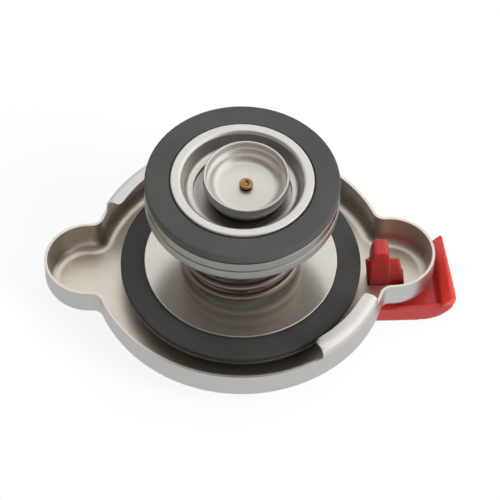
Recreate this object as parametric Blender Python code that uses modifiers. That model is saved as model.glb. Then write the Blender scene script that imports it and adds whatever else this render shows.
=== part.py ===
"""Safety radiator cap, lying on the flat outer face of its lever with the valve side up.

The frame's origin is on the cap's axis at the lever's outer face. +Z runs along the axis towards
the valve, and +X towards the ear that the lever's hook comes through. Lengths are in metres.
"""
import math

import bmesh
import bpy
from mathutils import Matrix, Vector

MM = 0.001

# Clearances
SEAT_GAP = 0.3 * MM
RUNNING_GAP = 0.1 * MM
MERGE_DISTANCE = 0.00001

# Cover
COVER_RADIUS = 29.9 * MM
COVER_SHEET = 0.8 * MM
COVER_DEPTH = 7.5 * MM
COVER_FILLET = 4.1 * MM
EAR_STANDOFF = 0.5 * MM
EAR_RADIUS = 9.0 * MM
EAR_BLEND = 2.5 * MM
TAB_START = math.radians(27.0)
TAB_END = math.radians(59.0)
TAB_RISE = 2.9 * MM
TAB_REACH = 3.5 * MM
TAB_BEND = 1.6 * MM
TAB_CORNER = 1.4 * MM
BOSS_RADIUS = 6.2 * MM
BOSS_RISE = 0.9 * MM

# Lever
LEVER_THICKNESS = 3.7 * MM
LEVER_WIDTH = 16.8 * MM
HUB_WIDTH = 14.0 * MM
HUB_END = 12.0 * MM
ARM_START = 21.0 * MM
LIP_STANDOFF = 4.0 * MM
LIP_RADIUS = 7.1 * MM
LIP_WALL = 1.8 * MM
LIP_CORNER = 1.2 * MM
LIP_FRONT_CORNER = 0.5 * MM
LIP_SKEW = 1.4 * MM
ARM_FLARE = 4.8 * MM
SIDE_RIM_WALL = 0.8 * MM
SIDE_RIM_RISE = 0.8 * MM
SIDE_RIM_SETBACK = 4.4 * MM
SIDE_RIM_RAMP = 3.0 * MM
OUTER_WEB = 0.6 * MM
LEVER_EDGE = 0.25 * MM
LIFT_TRAVEL = 3.2 * MM
LEVER_SWING = math.radians(90.0)

# Hook
HOOK_SETBACK = 4.3 * MM
HOOK_WIDTH = 6.7 * MM
HOOK_DEPTH = 3.2 * MM
HOOK_CENTRE = -0.6 * MM
HOOK_LEAN = 1.0 * MM
HOOK_BASE_INSET = 0.2 * MM
HOOK_FACET = 1.1 * MM
SHOULDER_HEIGHT = 12.4 * MM
SHOULDER_DROP = 3.6 * MM
SHOULDER_LAND = 0.8 * MM
PRONG_HEIGHT = 15.35 * MM
PRONG_FOOT = 3.9 * MM
PRONG_TIP = 2.8 * MM
PRONG_EDGE = 0.5 * MM
SLOT_END_GAP = 0.75 * MM
SLOT_SIDE_GAP = 0.4 * MM

# Pull rod and pin
ROD_RADIUS = 1.3 * MM
EYE_LENGTH = 3.6 * MM
PIN_RADIUS = 0.7 * MM
ROD_HEAD_RADIUS = 2.3 * MM
ROD_HEAD = 1.0 * MM
WASHER_RADIUS = 3.6 * MM
WASHER = 0.8 * MM

# Swivelling group: diaphragm, gasket and retainer disc
EYELET_RADIUS = 4.2 * MM
EYELET_WALL = 0.6 * MM
EYELET_FLANGE = 1.1 * MM
EYELET_LIP = 0.9 * MM
DIAPHRAGM_SHEET = 0.4 * MM
DIAPHRAGM_MARGIN = 0.25 * MM
DIAPHRAGM_HUB = 9.0 * MM
DIAPHRAGM_CONE = 17.0 * MM
GASKET_GROOVE = 4.6 * MM
GASKET_THICKNESS = 1.3 * MM
GASKET_BORE = 12.5 * MM
GASKET_HEIGHT = 9.1 * MM
GASKET_FACE = 5.0 * MM
DISC_SHEET = 0.5 * MM
DISC_WELL = 9.4 * MM

# Pressure valve
SEAL_DEPTH = 25.9 * MM
SEAL_RADIUS = 19.1 * MM
SEAL_THICKNESS = 1.8 * MM
SEAL_REBATE = 0.4 * MM
SEAL_FACE = 5.05 * MM
CLAMP_FLANGE = 2.05 * MM
CLAMP_SHEET = 0.45 * MM
CLAMP_WELL = 3.4 * MM
CLAMP_DRAFT = 0.95 * MM
LEDGE_WIDTH = 1.4 * MM
PLATE_MARGIN = 0.2 * MM
PLATE_SHEET = 0.8 * MM
PLATE_LIP = 1.4 * MM
SEAT_MARGIN = 0.6 * MM
SEAT_SHEET = 0.8 * MM
SEAT_SKIRT = 3.1 * MM
RELIEF_TRAVEL = 3.0 * MM

# Cage that the rod's head lifts
CAGE_RADIUS = 5.2 * MM
CAGE_WALL = 0.6 * MM
CAGE_FLANGE = 2.8 * MM
CAGE_FLANGE_SHEET = 0.7 * MM

# Vacuum valve
CUP_CLEARANCE = 1.25 * MM
CUP_SHEET = 0.5 * MM
CUP_DEPTH = 3.6 * MM
CUP_RISE = 1.9 * MM
CUP_FLARE = 2.3 * MM
CUP_STEP_DEPTH = 1.6 * MM
CUP_STEP = 0.75 * MM
VACUUM_SEAL_MARGIN = 1.2 * MM
STEM_RADIUS = 0.9 * MM
STEM_HEAD_RADIUS = 1.35 * MM
STEM_HEAD = 0.55 * MM
STEM_DIMPLE = 0.5 * MM
STEM_BORE = 2.2 * MM
VACUUM_TRAVEL = 1.0 * MM
VACUUM_OFFSET = Vector((0.7 * MM, -0.3 * MM, 0.0))
KEEPER_RADIUS = 3.5 * MM
KEEPER = 0.8 * MM
STEM_RIVET = 0.5 * MM

# Springs
MAIN_WIRE = 1.7 * MM
MAIN_SPRING_RADIUS = 12.4 * MM
MAIN_PITCH = 3.45 * MM
CLOSED_TURNS = 0.8
VACUUM_WIRE = 0.55 * MM
VACUUM_TURNS = 3.5

# Number of steps round turned pieces and in one turn of a coil
STEPS_LARGE = 48
STEPS_SMALL = 24
COIL_STEPS_LARGE = 24
COIL_STEPS_SMALL = 12

# Radii and reaches worked out from the sizes above
EAR_OFFSET = COVER_RADIUS + EAR_STANDOFF
HOOK_INNER = EAR_OFFSET - HOOK_SETBACK
SIDE_RIM_START = HOOK_INNER + SIDE_RIM_SETBACK
LEVER_REACH = EAR_OFFSET + EAR_RADIUS + LIP_STANDOFF
GASKET_RADIUS = COVER_RADIUS - COVER_SHEET - GASKET_GROOVE
DISC_RADIUS = GASKET_RADIUS - GASKET_FACE
PLATE_RADIUS = SEAL_RADIUS - PLATE_MARGIN
SEAT_RADIUS = PLATE_RADIUS - SEAT_MARGIN
CLAMP_RADIUS = SEAL_RADIUS - SEAL_FACE
CLAMP_MOUTH = CLAMP_RADIUS - CLAMP_FLANGE
LEDGE_BORE = CLAMP_MOUTH - CLAMP_DRAFT - LEDGE_WIDTH
CUP_RADIUS = LEDGE_BORE - CUP_CLEARANCE
CUP_FLOOR = CUP_RADIUS - CUP_FLARE
VACUUM_SEAL_RADIUS = CUP_RADIUS - VACUUM_SEAL_MARGIN

# Heights worked out from the sizes above
FLOOR_OUT = LEVER_THICKNESS + SEAT_GAP
FLOOR_IN = FLOOR_OUT + COVER_SHEET
RIM_TOP = FLOOR_OUT + COVER_DEPTH
PIN_HEIGHT = OUTER_WEB + SEAT_GAP + ROD_RADIUS
HINGE = Vector((0.0, 0.0, PIN_HEIGHT))
CAM_START = LEVER_THICKNESS - PIN_HEIGHT
CAM_RATE = LIFT_TRAVEL / LEVER_SWING
BOSS_TOP = FLOOR_IN + BOSS_RISE
DIAPHRAGM_LOW = BOSS_TOP + SEAT_GAP
DISC_LOW = DIAPHRAGM_LOW + DIAPHRAGM_SHEET + SEAT_GAP
EYELET_TOP_FLANGE = DISC_LOW + DISC_SHEET + SEAT_GAP
GASKET_TOP = GASKET_HEIGHT + GASKET_THICKNESS
DIAPHRAGM_RIM = GASKET_HEIGHT - SEAT_GAP
DISC_TOP = GASKET_TOP + SEAT_GAP + DISC_SHEET
SEAL_TOP = GASKET_TOP + SEAL_DEPTH
SEAL_LOW = SEAL_TOP - SEAL_THICKNESS
CLAMP_LOW = SEAL_TOP - SEAL_REBATE + SEAT_GAP
CLAMP_TOP = CLAMP_LOW + CLAMP_SHEET
LEDGE_TOP = CLAMP_TOP - CLAMP_WELL
PLATE_TOP = SEAL_LOW - SEAT_GAP
PLATE_WELL_TOP = LEDGE_TOP - CLAMP_SHEET - SEAT_GAP
PLATE_WELL_LOW = PLATE_WELL_TOP - PLATE_SHEET
PLATE_LIP_LOW = PLATE_TOP - PLATE_LIP
SEAT_SKIRT_TOP = PLATE_LIP_LOW - SEAT_GAP
SEAT_LOW = SEAT_SKIRT_TOP - SEAT_SKIRT
SEAT_POCKET_TOP = PLATE_WELL_LOW - SEAT_GAP
SEAT_POCKET_LOW = SEAT_POCKET_TOP - SEAT_SHEET
CUP_TOP = CLAMP_TOP + CUP_RISE
CUP_FLOOR_TOP = CUP_TOP - CUP_DEPTH
CUP_LOW = CUP_FLOOR_TOP - CUP_SHEET
VACUUM_SEAL_LOW = PLATE_WELL_TOP + SEAT_GAP
VACUUM_SEAL_TOP = CUP_LOW - SEAT_GAP
VACUUM_SPRING_TOP = PLATE_WELL_LOW - SEAT_GAP
VACUUM_SPRING_CLOSED = VACUUM_WIRE * (VACUUM_TURNS + 1.0)
VACUUM_SPRING_LOW = VACUUM_SPRING_TOP - VACUUM_SPRING_CLOSED - VACUUM_TRAVEL
KEEPER_TOP = VACUUM_SPRING_LOW - SEAT_GAP
KEEPER_LOW = KEEPER_TOP - KEEPER
STEM_LOW = KEEPER_LOW - SEAT_GAP - STEM_RIVET
ROD_TOP = STEM_LOW - RELIEF_TRAVEL - SEAT_GAP
ROD_HEAD_LOW = ROD_TOP - ROD_HEAD
WASHER_LOW = ROD_HEAD_LOW - SEAT_GAP - WASHER
CAGE_END_TOP = WASHER_LOW - SEAT_GAP
CAGE_LOW = CAGE_END_TOP - CAGE_WALL
MAIN_SPRING_LOW = DISC_TOP + SEAT_GAP
MAIN_SPRING_TOP = SEAT_POCKET_LOW - SEAT_GAP


def clear_scene():
    for old in list(bpy.data.objects):
        bpy.data.objects.remove(old, do_unlink=True)


def new_collection(name):
    group = bpy.data.collections.new(name)
    bpy.context.scene.collection.children.link(group)
    return group


def new_material(name, colour, metallic, roughness):
    material = bpy.data.materials.new(name)
    material.use_nodes = True
    shader = material.node_tree.nodes["Principled BSDF"]
    shader.inputs["Base Color"].default_value = (*colour, 1.0)
    shader.inputs["Metallic"].default_value = metallic
    shader.inputs["Roughness"].default_value = roughness
    return material


def add_object(name, mesh, group, material=None):
    """Makes an object of the mesh in a collection, with its material."""
    piece = bpy.data.objects.new(name, mesh)
    group.objects.link(piece)
    if material is not None:
        mesh.materials.append(material)
    return piece


def shade(piece):
    piece.data.shade_smooth()
    piece.data.set_sharp_from_angle(angle=math.radians(35.0))


def rounded(corners, arc_steps=2):
    """Replaces each corner (x, z, radius) of a closed outline by an arc; radius 0 keeps it sharp."""
    points = []
    count = len(corners)
    for index, (x, z, radius) in enumerate(corners):
        here = Vector((x, z))
        if radius <= 0.0:
            points.append((x, z))
            continue
        before = Vector(corners[index - 1][:2]) - here
        after = Vector(corners[(index + 1) % count][:2]) - here
        half = before.angle(after) / 2.0
        reach = min(radius / math.tan(half), before.length * 0.49, after.length * 0.49)
        size = reach * math.tan(half)
        centre = here + (before.normalized() + after.normalized()).normalized() * (size / math.sin(half))
        start = here + before.normalized() * reach - centre
        sweep = start.angle_signed(here + after.normalized() * reach - centre)
        for step in range(arc_steps + 1):
            turn = -sweep * step / arc_steps
            offset = Vector((start.x * math.cos(turn) - start.y * math.sin(turn),
                             start.x * math.sin(turn) + start.y * math.cos(turn)))
            points.append(tuple(centre + offset))
    return points


def turned(name, points, group, material, steps=STEPS_LARGE, closed=True):
    """Turns a profile of (radius, height) points about Z; it runs down its outer side."""
    mesh = bpy.data.meshes.new(name)
    bm = bmesh.new()
    rings = [bm.verts.new((radius, 0.0, height)) for radius, height in points]
    for first, second in zip(rings, rings[1:]):
        bm.edges.new((first, second))
    if closed:
        bm.edges.new((rings[-1], rings[0]))
    bm.to_mesh(mesh)
    bm.free()
    piece = add_object(name, mesh, group, material)
    screw = piece.modifiers.new("turn", "SCREW")
    screw.steps = steps
    screw.render_steps = steps
    screw.use_merge_vertices = True
    screw.merge_threshold = MERGE_DISTANCE
    screw.use_smooth_shade = True
    return piece


def bake(piece):
    """Replaces an object's mesh by its evaluated one, without its modifiers."""
    depsgraph = bpy.context.evaluated_depsgraph_get()
    mesh = bpy.data.meshes.new_from_object(piece.evaluated_get(depsgraph))
    mesh.name = piece.name
    piece.modifiers.clear()
    piece.data = mesh
    return piece


def extruded(name, points, depth, group, material=None, plane="XZ", centre=0.0):
    """Extrudes a flat outline: an XZ outline runs along Y, and an XY or YZ one along Z or X."""
    curve = bpy.data.curves.new(name, "CURVE")
    curve.dimensions = "2D"
    curve.fill_mode = "BOTH"
    curve.extrude = depth / 2.0
    spline = curve.splines.new("POLY")
    spline.points.add(len(points) - 1)
    for point, (first, second) in zip(spline.points, points):
        point.co = (first, second, 0.0, 1.0)
    spline.use_cyclic_u = True
    outline = bpy.data.objects.new(name + "_outline", curve)
    group.objects.link(outline)
    if plane == "XZ":
        outline.rotation_euler = (math.radians(90.0), 0.0, 0.0)
        outline.location = (0.0, centre, 0.0)
    elif plane == "YZ":
        outline.rotation_euler = (math.radians(90.0), 0.0, math.radians(90.0))
        outline.location = (centre, 0.0, 0.0)
    else:
        outline.location = (0.0, 0.0, centre)
    bpy.context.view_layer.update()
    depsgraph = bpy.context.evaluated_depsgraph_get()
    mesh = bpy.data.meshes.new_from_object(outline.evaluated_get(depsgraph))
    mesh.name = name
    mesh.transform(outline.matrix_world)
    bpy.data.objects.remove(outline, do_unlink=True)
    bm = bmesh.new()
    bm.from_mesh(mesh)
    bmesh.ops.remove_doubles(bm, verts=bm.verts, dist=MERGE_DISTANCE)
    bmesh.ops.recalc_face_normals(bm, faces=bm.faces)
    bm.to_mesh(mesh)
    bm.free()
    return add_object(name, mesh, group, material)


def rod_solid(name, radius, length, centre, axis, group, steps=STEPS_SMALL):
    """A plain cylinder along an axis, for cutting and joining."""
    mesh = bpy.data.meshes.new(name)
    bm = bmesh.new()
    bmesh.ops.create_cone(bm, cap_ends=True, segments=steps, radius1=radius, radius2=radius, depth=length)
    bm.to_mesh(mesh)
    bm.free()
    turn = Vector((0.0, 0.0, 1.0)).rotation_difference(Vector(axis))
    mesh.transform(turn.to_matrix().to_4x4())
    piece = add_object(name, mesh, group)
    piece.location = centre
    return piece


def box_solid(name, low, high, group):
    mesh = bpy.data.meshes.new(name)
    bm = bmesh.new()
    bmesh.ops.create_cube(bm, size=1.0)
    size = [b - a for a, b in zip(low, high)]
    middle = [(a + b) / 2.0 for a, b in zip(low, high)]
    bmesh.ops.scale(bm, vec=size, verts=bm.verts)
    bmesh.ops.translate(bm, vec=middle, verts=bm.verts)
    bm.to_mesh(mesh)
    bm.free()
    return add_object(name, mesh, group)


def combine(piece, other, operation):
    """Adds an exact Boolean of another solid, which then only guides the shape."""
    other.hide_render = True
    other.display_type = "WIRE"
    change = piece.modifiers.new(other.name, "BOOLEAN")
    change.object = other
    change.operation = operation
    change.solver = "EXACT"


def soften(piece, width, segments=1):
    bevel = piece.modifiers.new("edges", "BEVEL")
    bevel.width = width
    bevel.segments = segments
    bevel.limit_method = "ANGLE"
    bevel.angle_limit = math.radians(40.0)


def arc(centre, radius, start, end, steps):
    """Points of an arc from one angle to another, both ends included."""
    points = []
    for step in range(steps + 1):
        angle = start + (end - start) * step / steps
        points.append((centre[0] + radius * math.cos(angle), centre[1] + radius * math.sin(angle)))
    return points


def cover_quarter():
    """The cover's outline in the first quadrant, from the ear's tip to the middle of the round side."""
    blend_far = COVER_RADIUS + EAR_BLEND
    blend_near = EAR_RADIUS + EAR_BLEND
    blend_x = (blend_far ** 2 + EAR_OFFSET ** 2 - blend_near ** 2) / (2.0 * EAR_OFFSET)
    blend = (blend_x, math.sqrt(blend_far ** 2 - blend_x ** 2))
    to_round = math.atan2(blend[1], blend[0])
    to_ear = math.atan2(blend[1], blend[0] - EAR_OFFSET)
    points = arc((EAR_OFFSET, 0.0), EAR_RADIUS, 0.0, to_ear, 8)
    points += arc(blend, EAR_BLEND, to_ear - math.pi, to_round - math.pi, 2)[1:]
    round_angles = [to_round, TAB_START, TAB_END, math.pi / 2.0]
    round_steps = [1, 6, 5]
    for start, end, steps in zip(round_angles, round_angles[1:], round_steps):
        points += arc((0.0, 0.0), COVER_RADIUS, start, end, steps)[1:]
    return points


def cover_outline():
    quarter = cover_quarter()
    half = quarter + [(-x, y) for x, y in reversed(quarter[:-1])]
    return half + [(x, -y) for x, y in reversed(half[1:-1])]


def grow_tab(bm, side):
    """Raises the rim into one cam tab and turns it inwards over the round side."""
    def on_tab(vertex):
        angle = math.atan2(side * vertex.co.y, side * vertex.co.x)
        return -TAB_END - 0.001 < angle < -TAB_START + 0.001 and abs(vertex.co.z - RIM_TOP) < MERGE_DISTANCE

    edges = [e for e in bm.edges if on_tab(e.verts[0]) and on_tab(e.verts[1])]
    middle = -(TAB_START + TAB_END) / 2.0
    half_span = (TAB_END - TAB_START) / 2.0
    rows = [(0.0, TAB_RISE - TAB_BEND, 0.0)]
    for step in range(1, 4):
        turn = math.pi / 2.0 * step / 3
        inward = TAB_BEND * (1.0 - math.cos(turn))
        rows.append((inward, TAB_RISE - TAB_BEND * (1.0 - math.sin(turn)), 0.0))
    rows.append((TAB_REACH - TAB_CORNER, TAB_RISE, 0.0))
    rows.append((TAB_REACH, TAB_RISE, TAB_CORNER))
    for inward, rise, corner in rows:
        grown = bmesh.ops.extrude_edge_only(bm, edges=edges)["geom"]
        edges = [g for g in grown if isinstance(g, bmesh.types.BMEdge)]
        row = {v for e in edges for v in e.verts}
        radius = COVER_RADIUS - inward
        squeeze = 1.0 - corner / (radius * half_span)
        for vertex in row:
            angle = math.atan2(side * vertex.co.y, side * vertex.co.x)
            if corner:
                angle = middle + (angle - middle) * squeeze
            vertex.co.x = side * radius * math.cos(angle)
            vertex.co.y = side * radius * math.sin(angle)
            vertex.co.z = RIM_TOP + rise


def make_cover(group, cutters, material):
    """Pressed cover: a flanged tray with two ears, two cam tabs, a centre boss and the hook's slot."""
    mesh = bpy.data.meshes.new("cover_shell")
    bm = bmesh.new()
    corners = [bm.verts.new((x, y, FLOOR_OUT)) for x, y in cover_outline()]
    edges = [bm.edges.new((a, b)) for a, b in zip(corners, corners[1:] + corners[:1])]
    bmesh.ops.contextual_create(bm, geom=edges)
    wall = bmesh.ops.extrude_edge_only(bm, edges=edges)["geom"]
    rim = [v for v in wall if isinstance(v, bmesh.types.BMVert)]
    bmesh.ops.translate(bm, vec=(0.0, 0.0, COVER_DEPTH), verts=rim)
    for side in (1, -1):
        grow_tab(bm, side)
    low = [e for e in bm.edges if all(abs(v.co.z - FLOOR_OUT) < MERGE_DISTANCE for v in e.verts)]
    bmesh.ops.bevel(bm, geom=low, offset=COVER_FILLET, offset_type="OFFSET", segments=4, profile=0.5,
                    affect="EDGES")
    bmesh.ops.recalc_face_normals(bm, faces=bm.faces)
    floor = min(bm.faces, key=lambda f: f.calc_center_median().z)
    if floor.normal.z > 0.0:
        bmesh.ops.reverse_faces(bm, faces=bm.faces)
    bm.to_mesh(mesh)
    bm.free()
    cover = add_object("cover_shell", mesh, group, material)
    sheet = cover.modifiers.new("sheet", "SOLIDIFY")
    sheet.thickness = COVER_SHEET
    sheet.offset = -1.0
    sheet.use_even_offset = True
    bake(cover)

    hole = EYELET_RADIUS + SEAT_GAP
    recess = BOSS_RADIUS - COVER_SHEET
    boss = rod_solid("boss", BOSS_RADIUS, BOSS_TOP - FLOOR_OUT - COVER_SHEET / 2.0,
                     (0.0, 0.0, (BOSS_TOP + FLOOR_OUT + COVER_SHEET / 2.0) / 2.0), (0, 0, 1), cutters)
    hollow = rod_solid("boss_hollow", recess, 2.0 * BOSS_RISE, (0.0, 0.0, FLOOR_OUT), (0, 0, 1), cutters)
    bore = rod_solid("boss_bore", hole, 4.0 * COVER_DEPTH, (0.0, 0.0, FLOOR_OUT), (0, 0, 1), cutters)
    slot_low = (HOOK_INNER - SEAT_GAP, HOOK_CENTRE - HOOK_DEPTH / 2.0 - SLOT_SIDE_GAP, 0.0)
    slot_high = (HOOK_INNER + HOOK_WIDTH + SLOT_END_GAP, HOOK_CENTRE + HOOK_DEPTH / 2.0 + SLOT_SIDE_GAP,
                 FLOOR_IN + COVER_SHEET)
    slot = box_solid("hook_slot", slot_low, slot_high, cutters)
    combine(cover, boss, "UNION")
    for tool in (hollow, bore, slot):
        combine(cover, tool, "DIFFERENCE")
    bake(cover)
    shade(cover)
    return cover


def cam_points(steps):
    """The cam's outline from the lever's top face round to its tail.

    The distance from the pin to the contact plane grows evenly with the turn, so the curve is
    traced by its support line.
    """
    points = []
    for step in range(steps + 1):
        turn = LEVER_SWING * step / steps
        reach = CAM_START + CAM_RATE * turn
        x = -reach * math.sin(turn) - CAM_RATE * math.cos(turn)
        z = reach * math.cos(turn) - CAM_RATE * math.sin(turn)
        points.append((x, PIN_HEIGHT + z))
    return points


def lever_profile():
    """Side view of the lever: cam and tail, flat plate, and the lip curled up outside the ear."""
    centre = (LEVER_REACH - LIP_RADIUS, LIP_RADIUS)
    inner = LIP_RADIUS - LIP_WALL
    meet = -math.asin((LIP_RADIUS - LEVER_THICKNESS) / inner)
    cam = cam_points(8)
    points = [(cam[-1][0], 0.0)]
    points += arc(centre, LIP_RADIUS, -math.pi / 2.0, 0.0, 8)
    points += arc(centre, inner, 0.0, meet, 4)
    points += cam
    return points


def lever_plan():
    """Plan of the lever: a narrower hub that widens to the arm, which ends a little askew."""
    tail = -CAM_START - LIFT_TRAVEL - SEAT_GAP
    corners = [
        (tail, -HUB_WIDTH / 2.0, 0.0),
        (HUB_END, -HUB_WIDTH / 2.0, ARM_FLARE),
        (ARM_START, -LEVER_WIDTH / 2.0, ARM_FLARE),
        (LEVER_REACH + RUNNING_GAP, -LEVER_WIDTH / 2.0, LIP_FRONT_CORNER),
        (LEVER_REACH - LIP_SKEW, LEVER_WIDTH / 2.0, LIP_CORNER),
        (ARM_START, LEVER_WIDTH / 2.0, ARM_FLARE),
        (HUB_END, HUB_WIDTH / 2.0, ARM_FLARE),
        (tail, HUB_WIDTH / 2.0, 0.0),
    ]
    return rounded(corners)


def make_hook(group):
    """Hook block with sloping shoulders and the narrower prong, leaning towards the axis as it rises."""
    foot = LEVER_THICKNESS - OUTER_WEB
    outer = HOOK_INNER + HOOK_WIDTH
    back = HOOK_CENTRE + HOOK_DEPTH / 2.0
    front = HOOK_CENTRE - HOOK_DEPTH / 2.0
    middle = HOOK_INNER + HOOK_WIDTH / 2.0 - HOOK_LEAN - (PRONG_FOOT - PRONG_TIP) / 4.0
    block = [
        (HOOK_INNER, back - HOOK_BASE_INSET),
        (HOOK_INNER, front + HOOK_FACET),
        (middle + HOOK_LEAN / 2.0 - PRONG_TIP / 2.0, front + HOOK_BASE_INSET),
        (middle + HOOK_LEAN / 2.0 + PRONG_TIP / 2.0, front + HOOK_BASE_INSET),
        (outer, front + HOOK_FACET),
        (outer, back - HOOK_BASE_INSET),
    ]
    height = SHOULDER_HEIGHT - foot
    base = extruded("hook_base", block, height, group, plane="XY", centre=foot + height / 2.0)
    lean = Matrix.Translation((0.0, 0.0, foot)) @ Matrix.Shear("XY", 4, (-HOOK_LEAN / height, 0.0))
    base.data.transform(lean @ Matrix.Translation((0.0, 0.0, -foot)))
    slope = [
        (front + SHOULDER_LAND, SHOULDER_HEIGHT + SEAT_GAP),
        (front + SHOULDER_LAND, SHOULDER_HEIGHT),
        (back, SHOULDER_HEIGHT - SHOULDER_DROP),
        (back + SEAT_GAP, SHOULDER_HEIGHT - SHOULDER_DROP),
        (back + SEAT_GAP, SHOULDER_HEIGHT + SEAT_GAP),
    ]
    away = extruded("shoulder_slope", slope, 3.0 * HOOK_WIDTH, group, plane="YZ", centre=middle)
    combine(base, away, "DIFFERENCE")
    bake(base)
    prong = [
        (middle - PRONG_FOOT / 2.0, foot - SEAT_GAP),
        (middle + PRONG_FOOT / 2.0, foot - SEAT_GAP),
        (middle + PRONG_FOOT / 2.0, SHOULDER_HEIGHT),
        (middle + PRONG_TIP / 2.0, PRONG_HEIGHT),
        (middle - PRONG_TIP / 2.0, PRONG_HEIGHT),
        (middle - PRONG_FOOT / 2.0, SHOULDER_HEIGHT),
    ]
    tip = extruded("hook_prong", prong, HOOK_DEPTH, group, plane="XZ", centre=HOOK_CENTRE)
    soften(tip, PRONG_EDGE, 2)
    bake(tip)
    combine(base, tip, "UNION")
    return bake(base)


def make_lever(group, cutters, material):
    """Moulded lever: forked cam hub, plate with side rims, curled lip and hook."""
    lever = extruded("safety_lever", lever_profile(), 2.0 * LEVER_WIDTH, group, material)
    plan = extruded("lever_plan", lever_plan(), 4.0 * LIP_RADIUS, cutters, plane="XY")
    combine(lever, plan, "INTERSECT")
    bake(lever)
    soften(lever, LEVER_EDGE)
    bake(lever)

    rim_top = LEVER_THICKNESS + SIDE_RIM_RISE
    rim_end = LEVER_REACH - LIP_RADIUS + (LIP_RADIUS - LIP_WALL) * 0.7
    rim_low = LEVER_THICKNESS - OUTER_WEB
    rim = [(SIDE_RIM_START, rim_low), (rim_end + LIP_WALL, rim_low), (rim_end + LIP_WALL, rim_top),
           (SIDE_RIM_START + SIDE_RIM_RAMP, rim_top), (SIDE_RIM_START, LEVER_THICKNESS)]
    for side in (1, -1):
        offset = side * (LEVER_WIDTH / 2.0 - LEVER_EDGE - SIDE_RIM_WALL / 2.0)
        wall = extruded("side_rim", rim, SIDE_RIM_WALL, cutters, centre=offset)
        combine(lever, wall, "UNION")
        bake(lever)
    combine(lever, make_hook(cutters), "UNION")
    bake(lever)

    fork = EYE_LENGTH / 2.0 + SEAT_GAP
    tail = -CAM_START - LIFT_TRAVEL - LIP_WALL
    fork_low = (tail, -fork, OUTER_WEB)
    fork_high = (ROD_RADIUS + SEAT_GAP, fork, 2.0 * LEVER_THICKNESS)
    fork_gap = box_solid("fork_gap", fork_low, fork_high, cutters)
    bore = rod_solid("pin_bore", PIN_RADIUS + RUNNING_GAP, 2.0 * HUB_WIDTH, HINGE, (0, 1, 0), cutters)
    combine(lever, fork_gap, "DIFFERENCE")
    combine(lever, bore, "DIFFERENCE")
    bake(lever)
    shade(lever)
    lever.data.transform(Matrix.Translation(-HINGE))
    lever.location = HINGE
    return lever


def make_pull_rod(group, cutters, material):
    """Rod with a riveted head at the valve and an eye for the lever's pin."""
    profile = [(0.0, ROD_TOP), (ROD_HEAD_RADIUS, ROD_TOP), (ROD_HEAD_RADIUS, ROD_HEAD_LOW),
               (ROD_RADIUS, ROD_HEAD_LOW), (ROD_RADIUS, PIN_HEIGHT), (0.0, PIN_HEIGHT)]
    rod = turned("pull_rod", profile, group, material, STEPS_SMALL, closed=False)
    bake(rod)
    eye = rod_solid("rod_eye", ROD_RADIUS, EYE_LENGTH, HINGE, (0, 1, 0), cutters)
    bore = rod_solid("eye_bore", PIN_RADIUS + RUNNING_GAP, 2.0 * EYE_LENGTH, HINGE, (0, 1, 0), cutters)
    combine(rod, eye, "UNION")
    combine(rod, bore, "DIFFERENCE")
    bake(rod)
    shade(rod)
    return rod


def helix(name, wire, radius, low, high, turns, closed_turns, steps, group, material):
    """Coil of round wire between two heights, with its end turns wound closed."""
    curve = bpy.data.curves.new(name, "CURVE")
    curve.dimensions = "3D"
    curve.bevel_depth = wire / 2.0
    curve.bevel_resolution = 2
    curve.use_fill_caps = True
    count = int(turns * steps) + 1
    spline = curve.splines.new("POLY")
    spline.points.add(count - 1)
    bottom = low + wire / 2.0
    top = high - wire / 2.0
    closed_rise = min(closed_turns * wire * 1.06, (top - bottom) * 0.3)
    for index, point in enumerate(spline.points):
        turn = turns * index / (count - 1)
        if turn < closed_turns:
            height = bottom + closed_rise * turn / closed_turns
        elif turn > turns - closed_turns:
            height = top - closed_rise * (turns - turn) / closed_turns
        else:
            share = (turn - closed_turns) / (turns - 2.0 * closed_turns)
            height = bottom + closed_rise + (top - bottom - 2.0 * closed_rise) * share
        angle = 2.0 * math.pi * turn
        point.co = (radius * math.cos(angle), radius * math.sin(angle), height, 1.0)
    guide = bpy.data.objects.new(name + "_path", curve)
    group.objects.link(guide)
    bpy.context.view_layer.update()
    depsgraph = bpy.context.evaluated_depsgraph_get()
    mesh = bpy.data.meshes.new_from_object(guide.evaluated_get(depsgraph))
    mesh.name = name
    bpy.data.objects.remove(guide, do_unlink=True)
    bm = bmesh.new()
    bm.from_mesh(mesh)
    bmesh.ops.remove_doubles(bm, verts=bm.verts, dist=MERGE_DISTANCE)
    bmesh.ops.recalc_face_normals(bm, faces=bm.faces)
    bm.to_mesh(mesh)
    bm.free()
    piece = add_object(name, mesh, group, material)
    shade(piece)
    return piece


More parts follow.
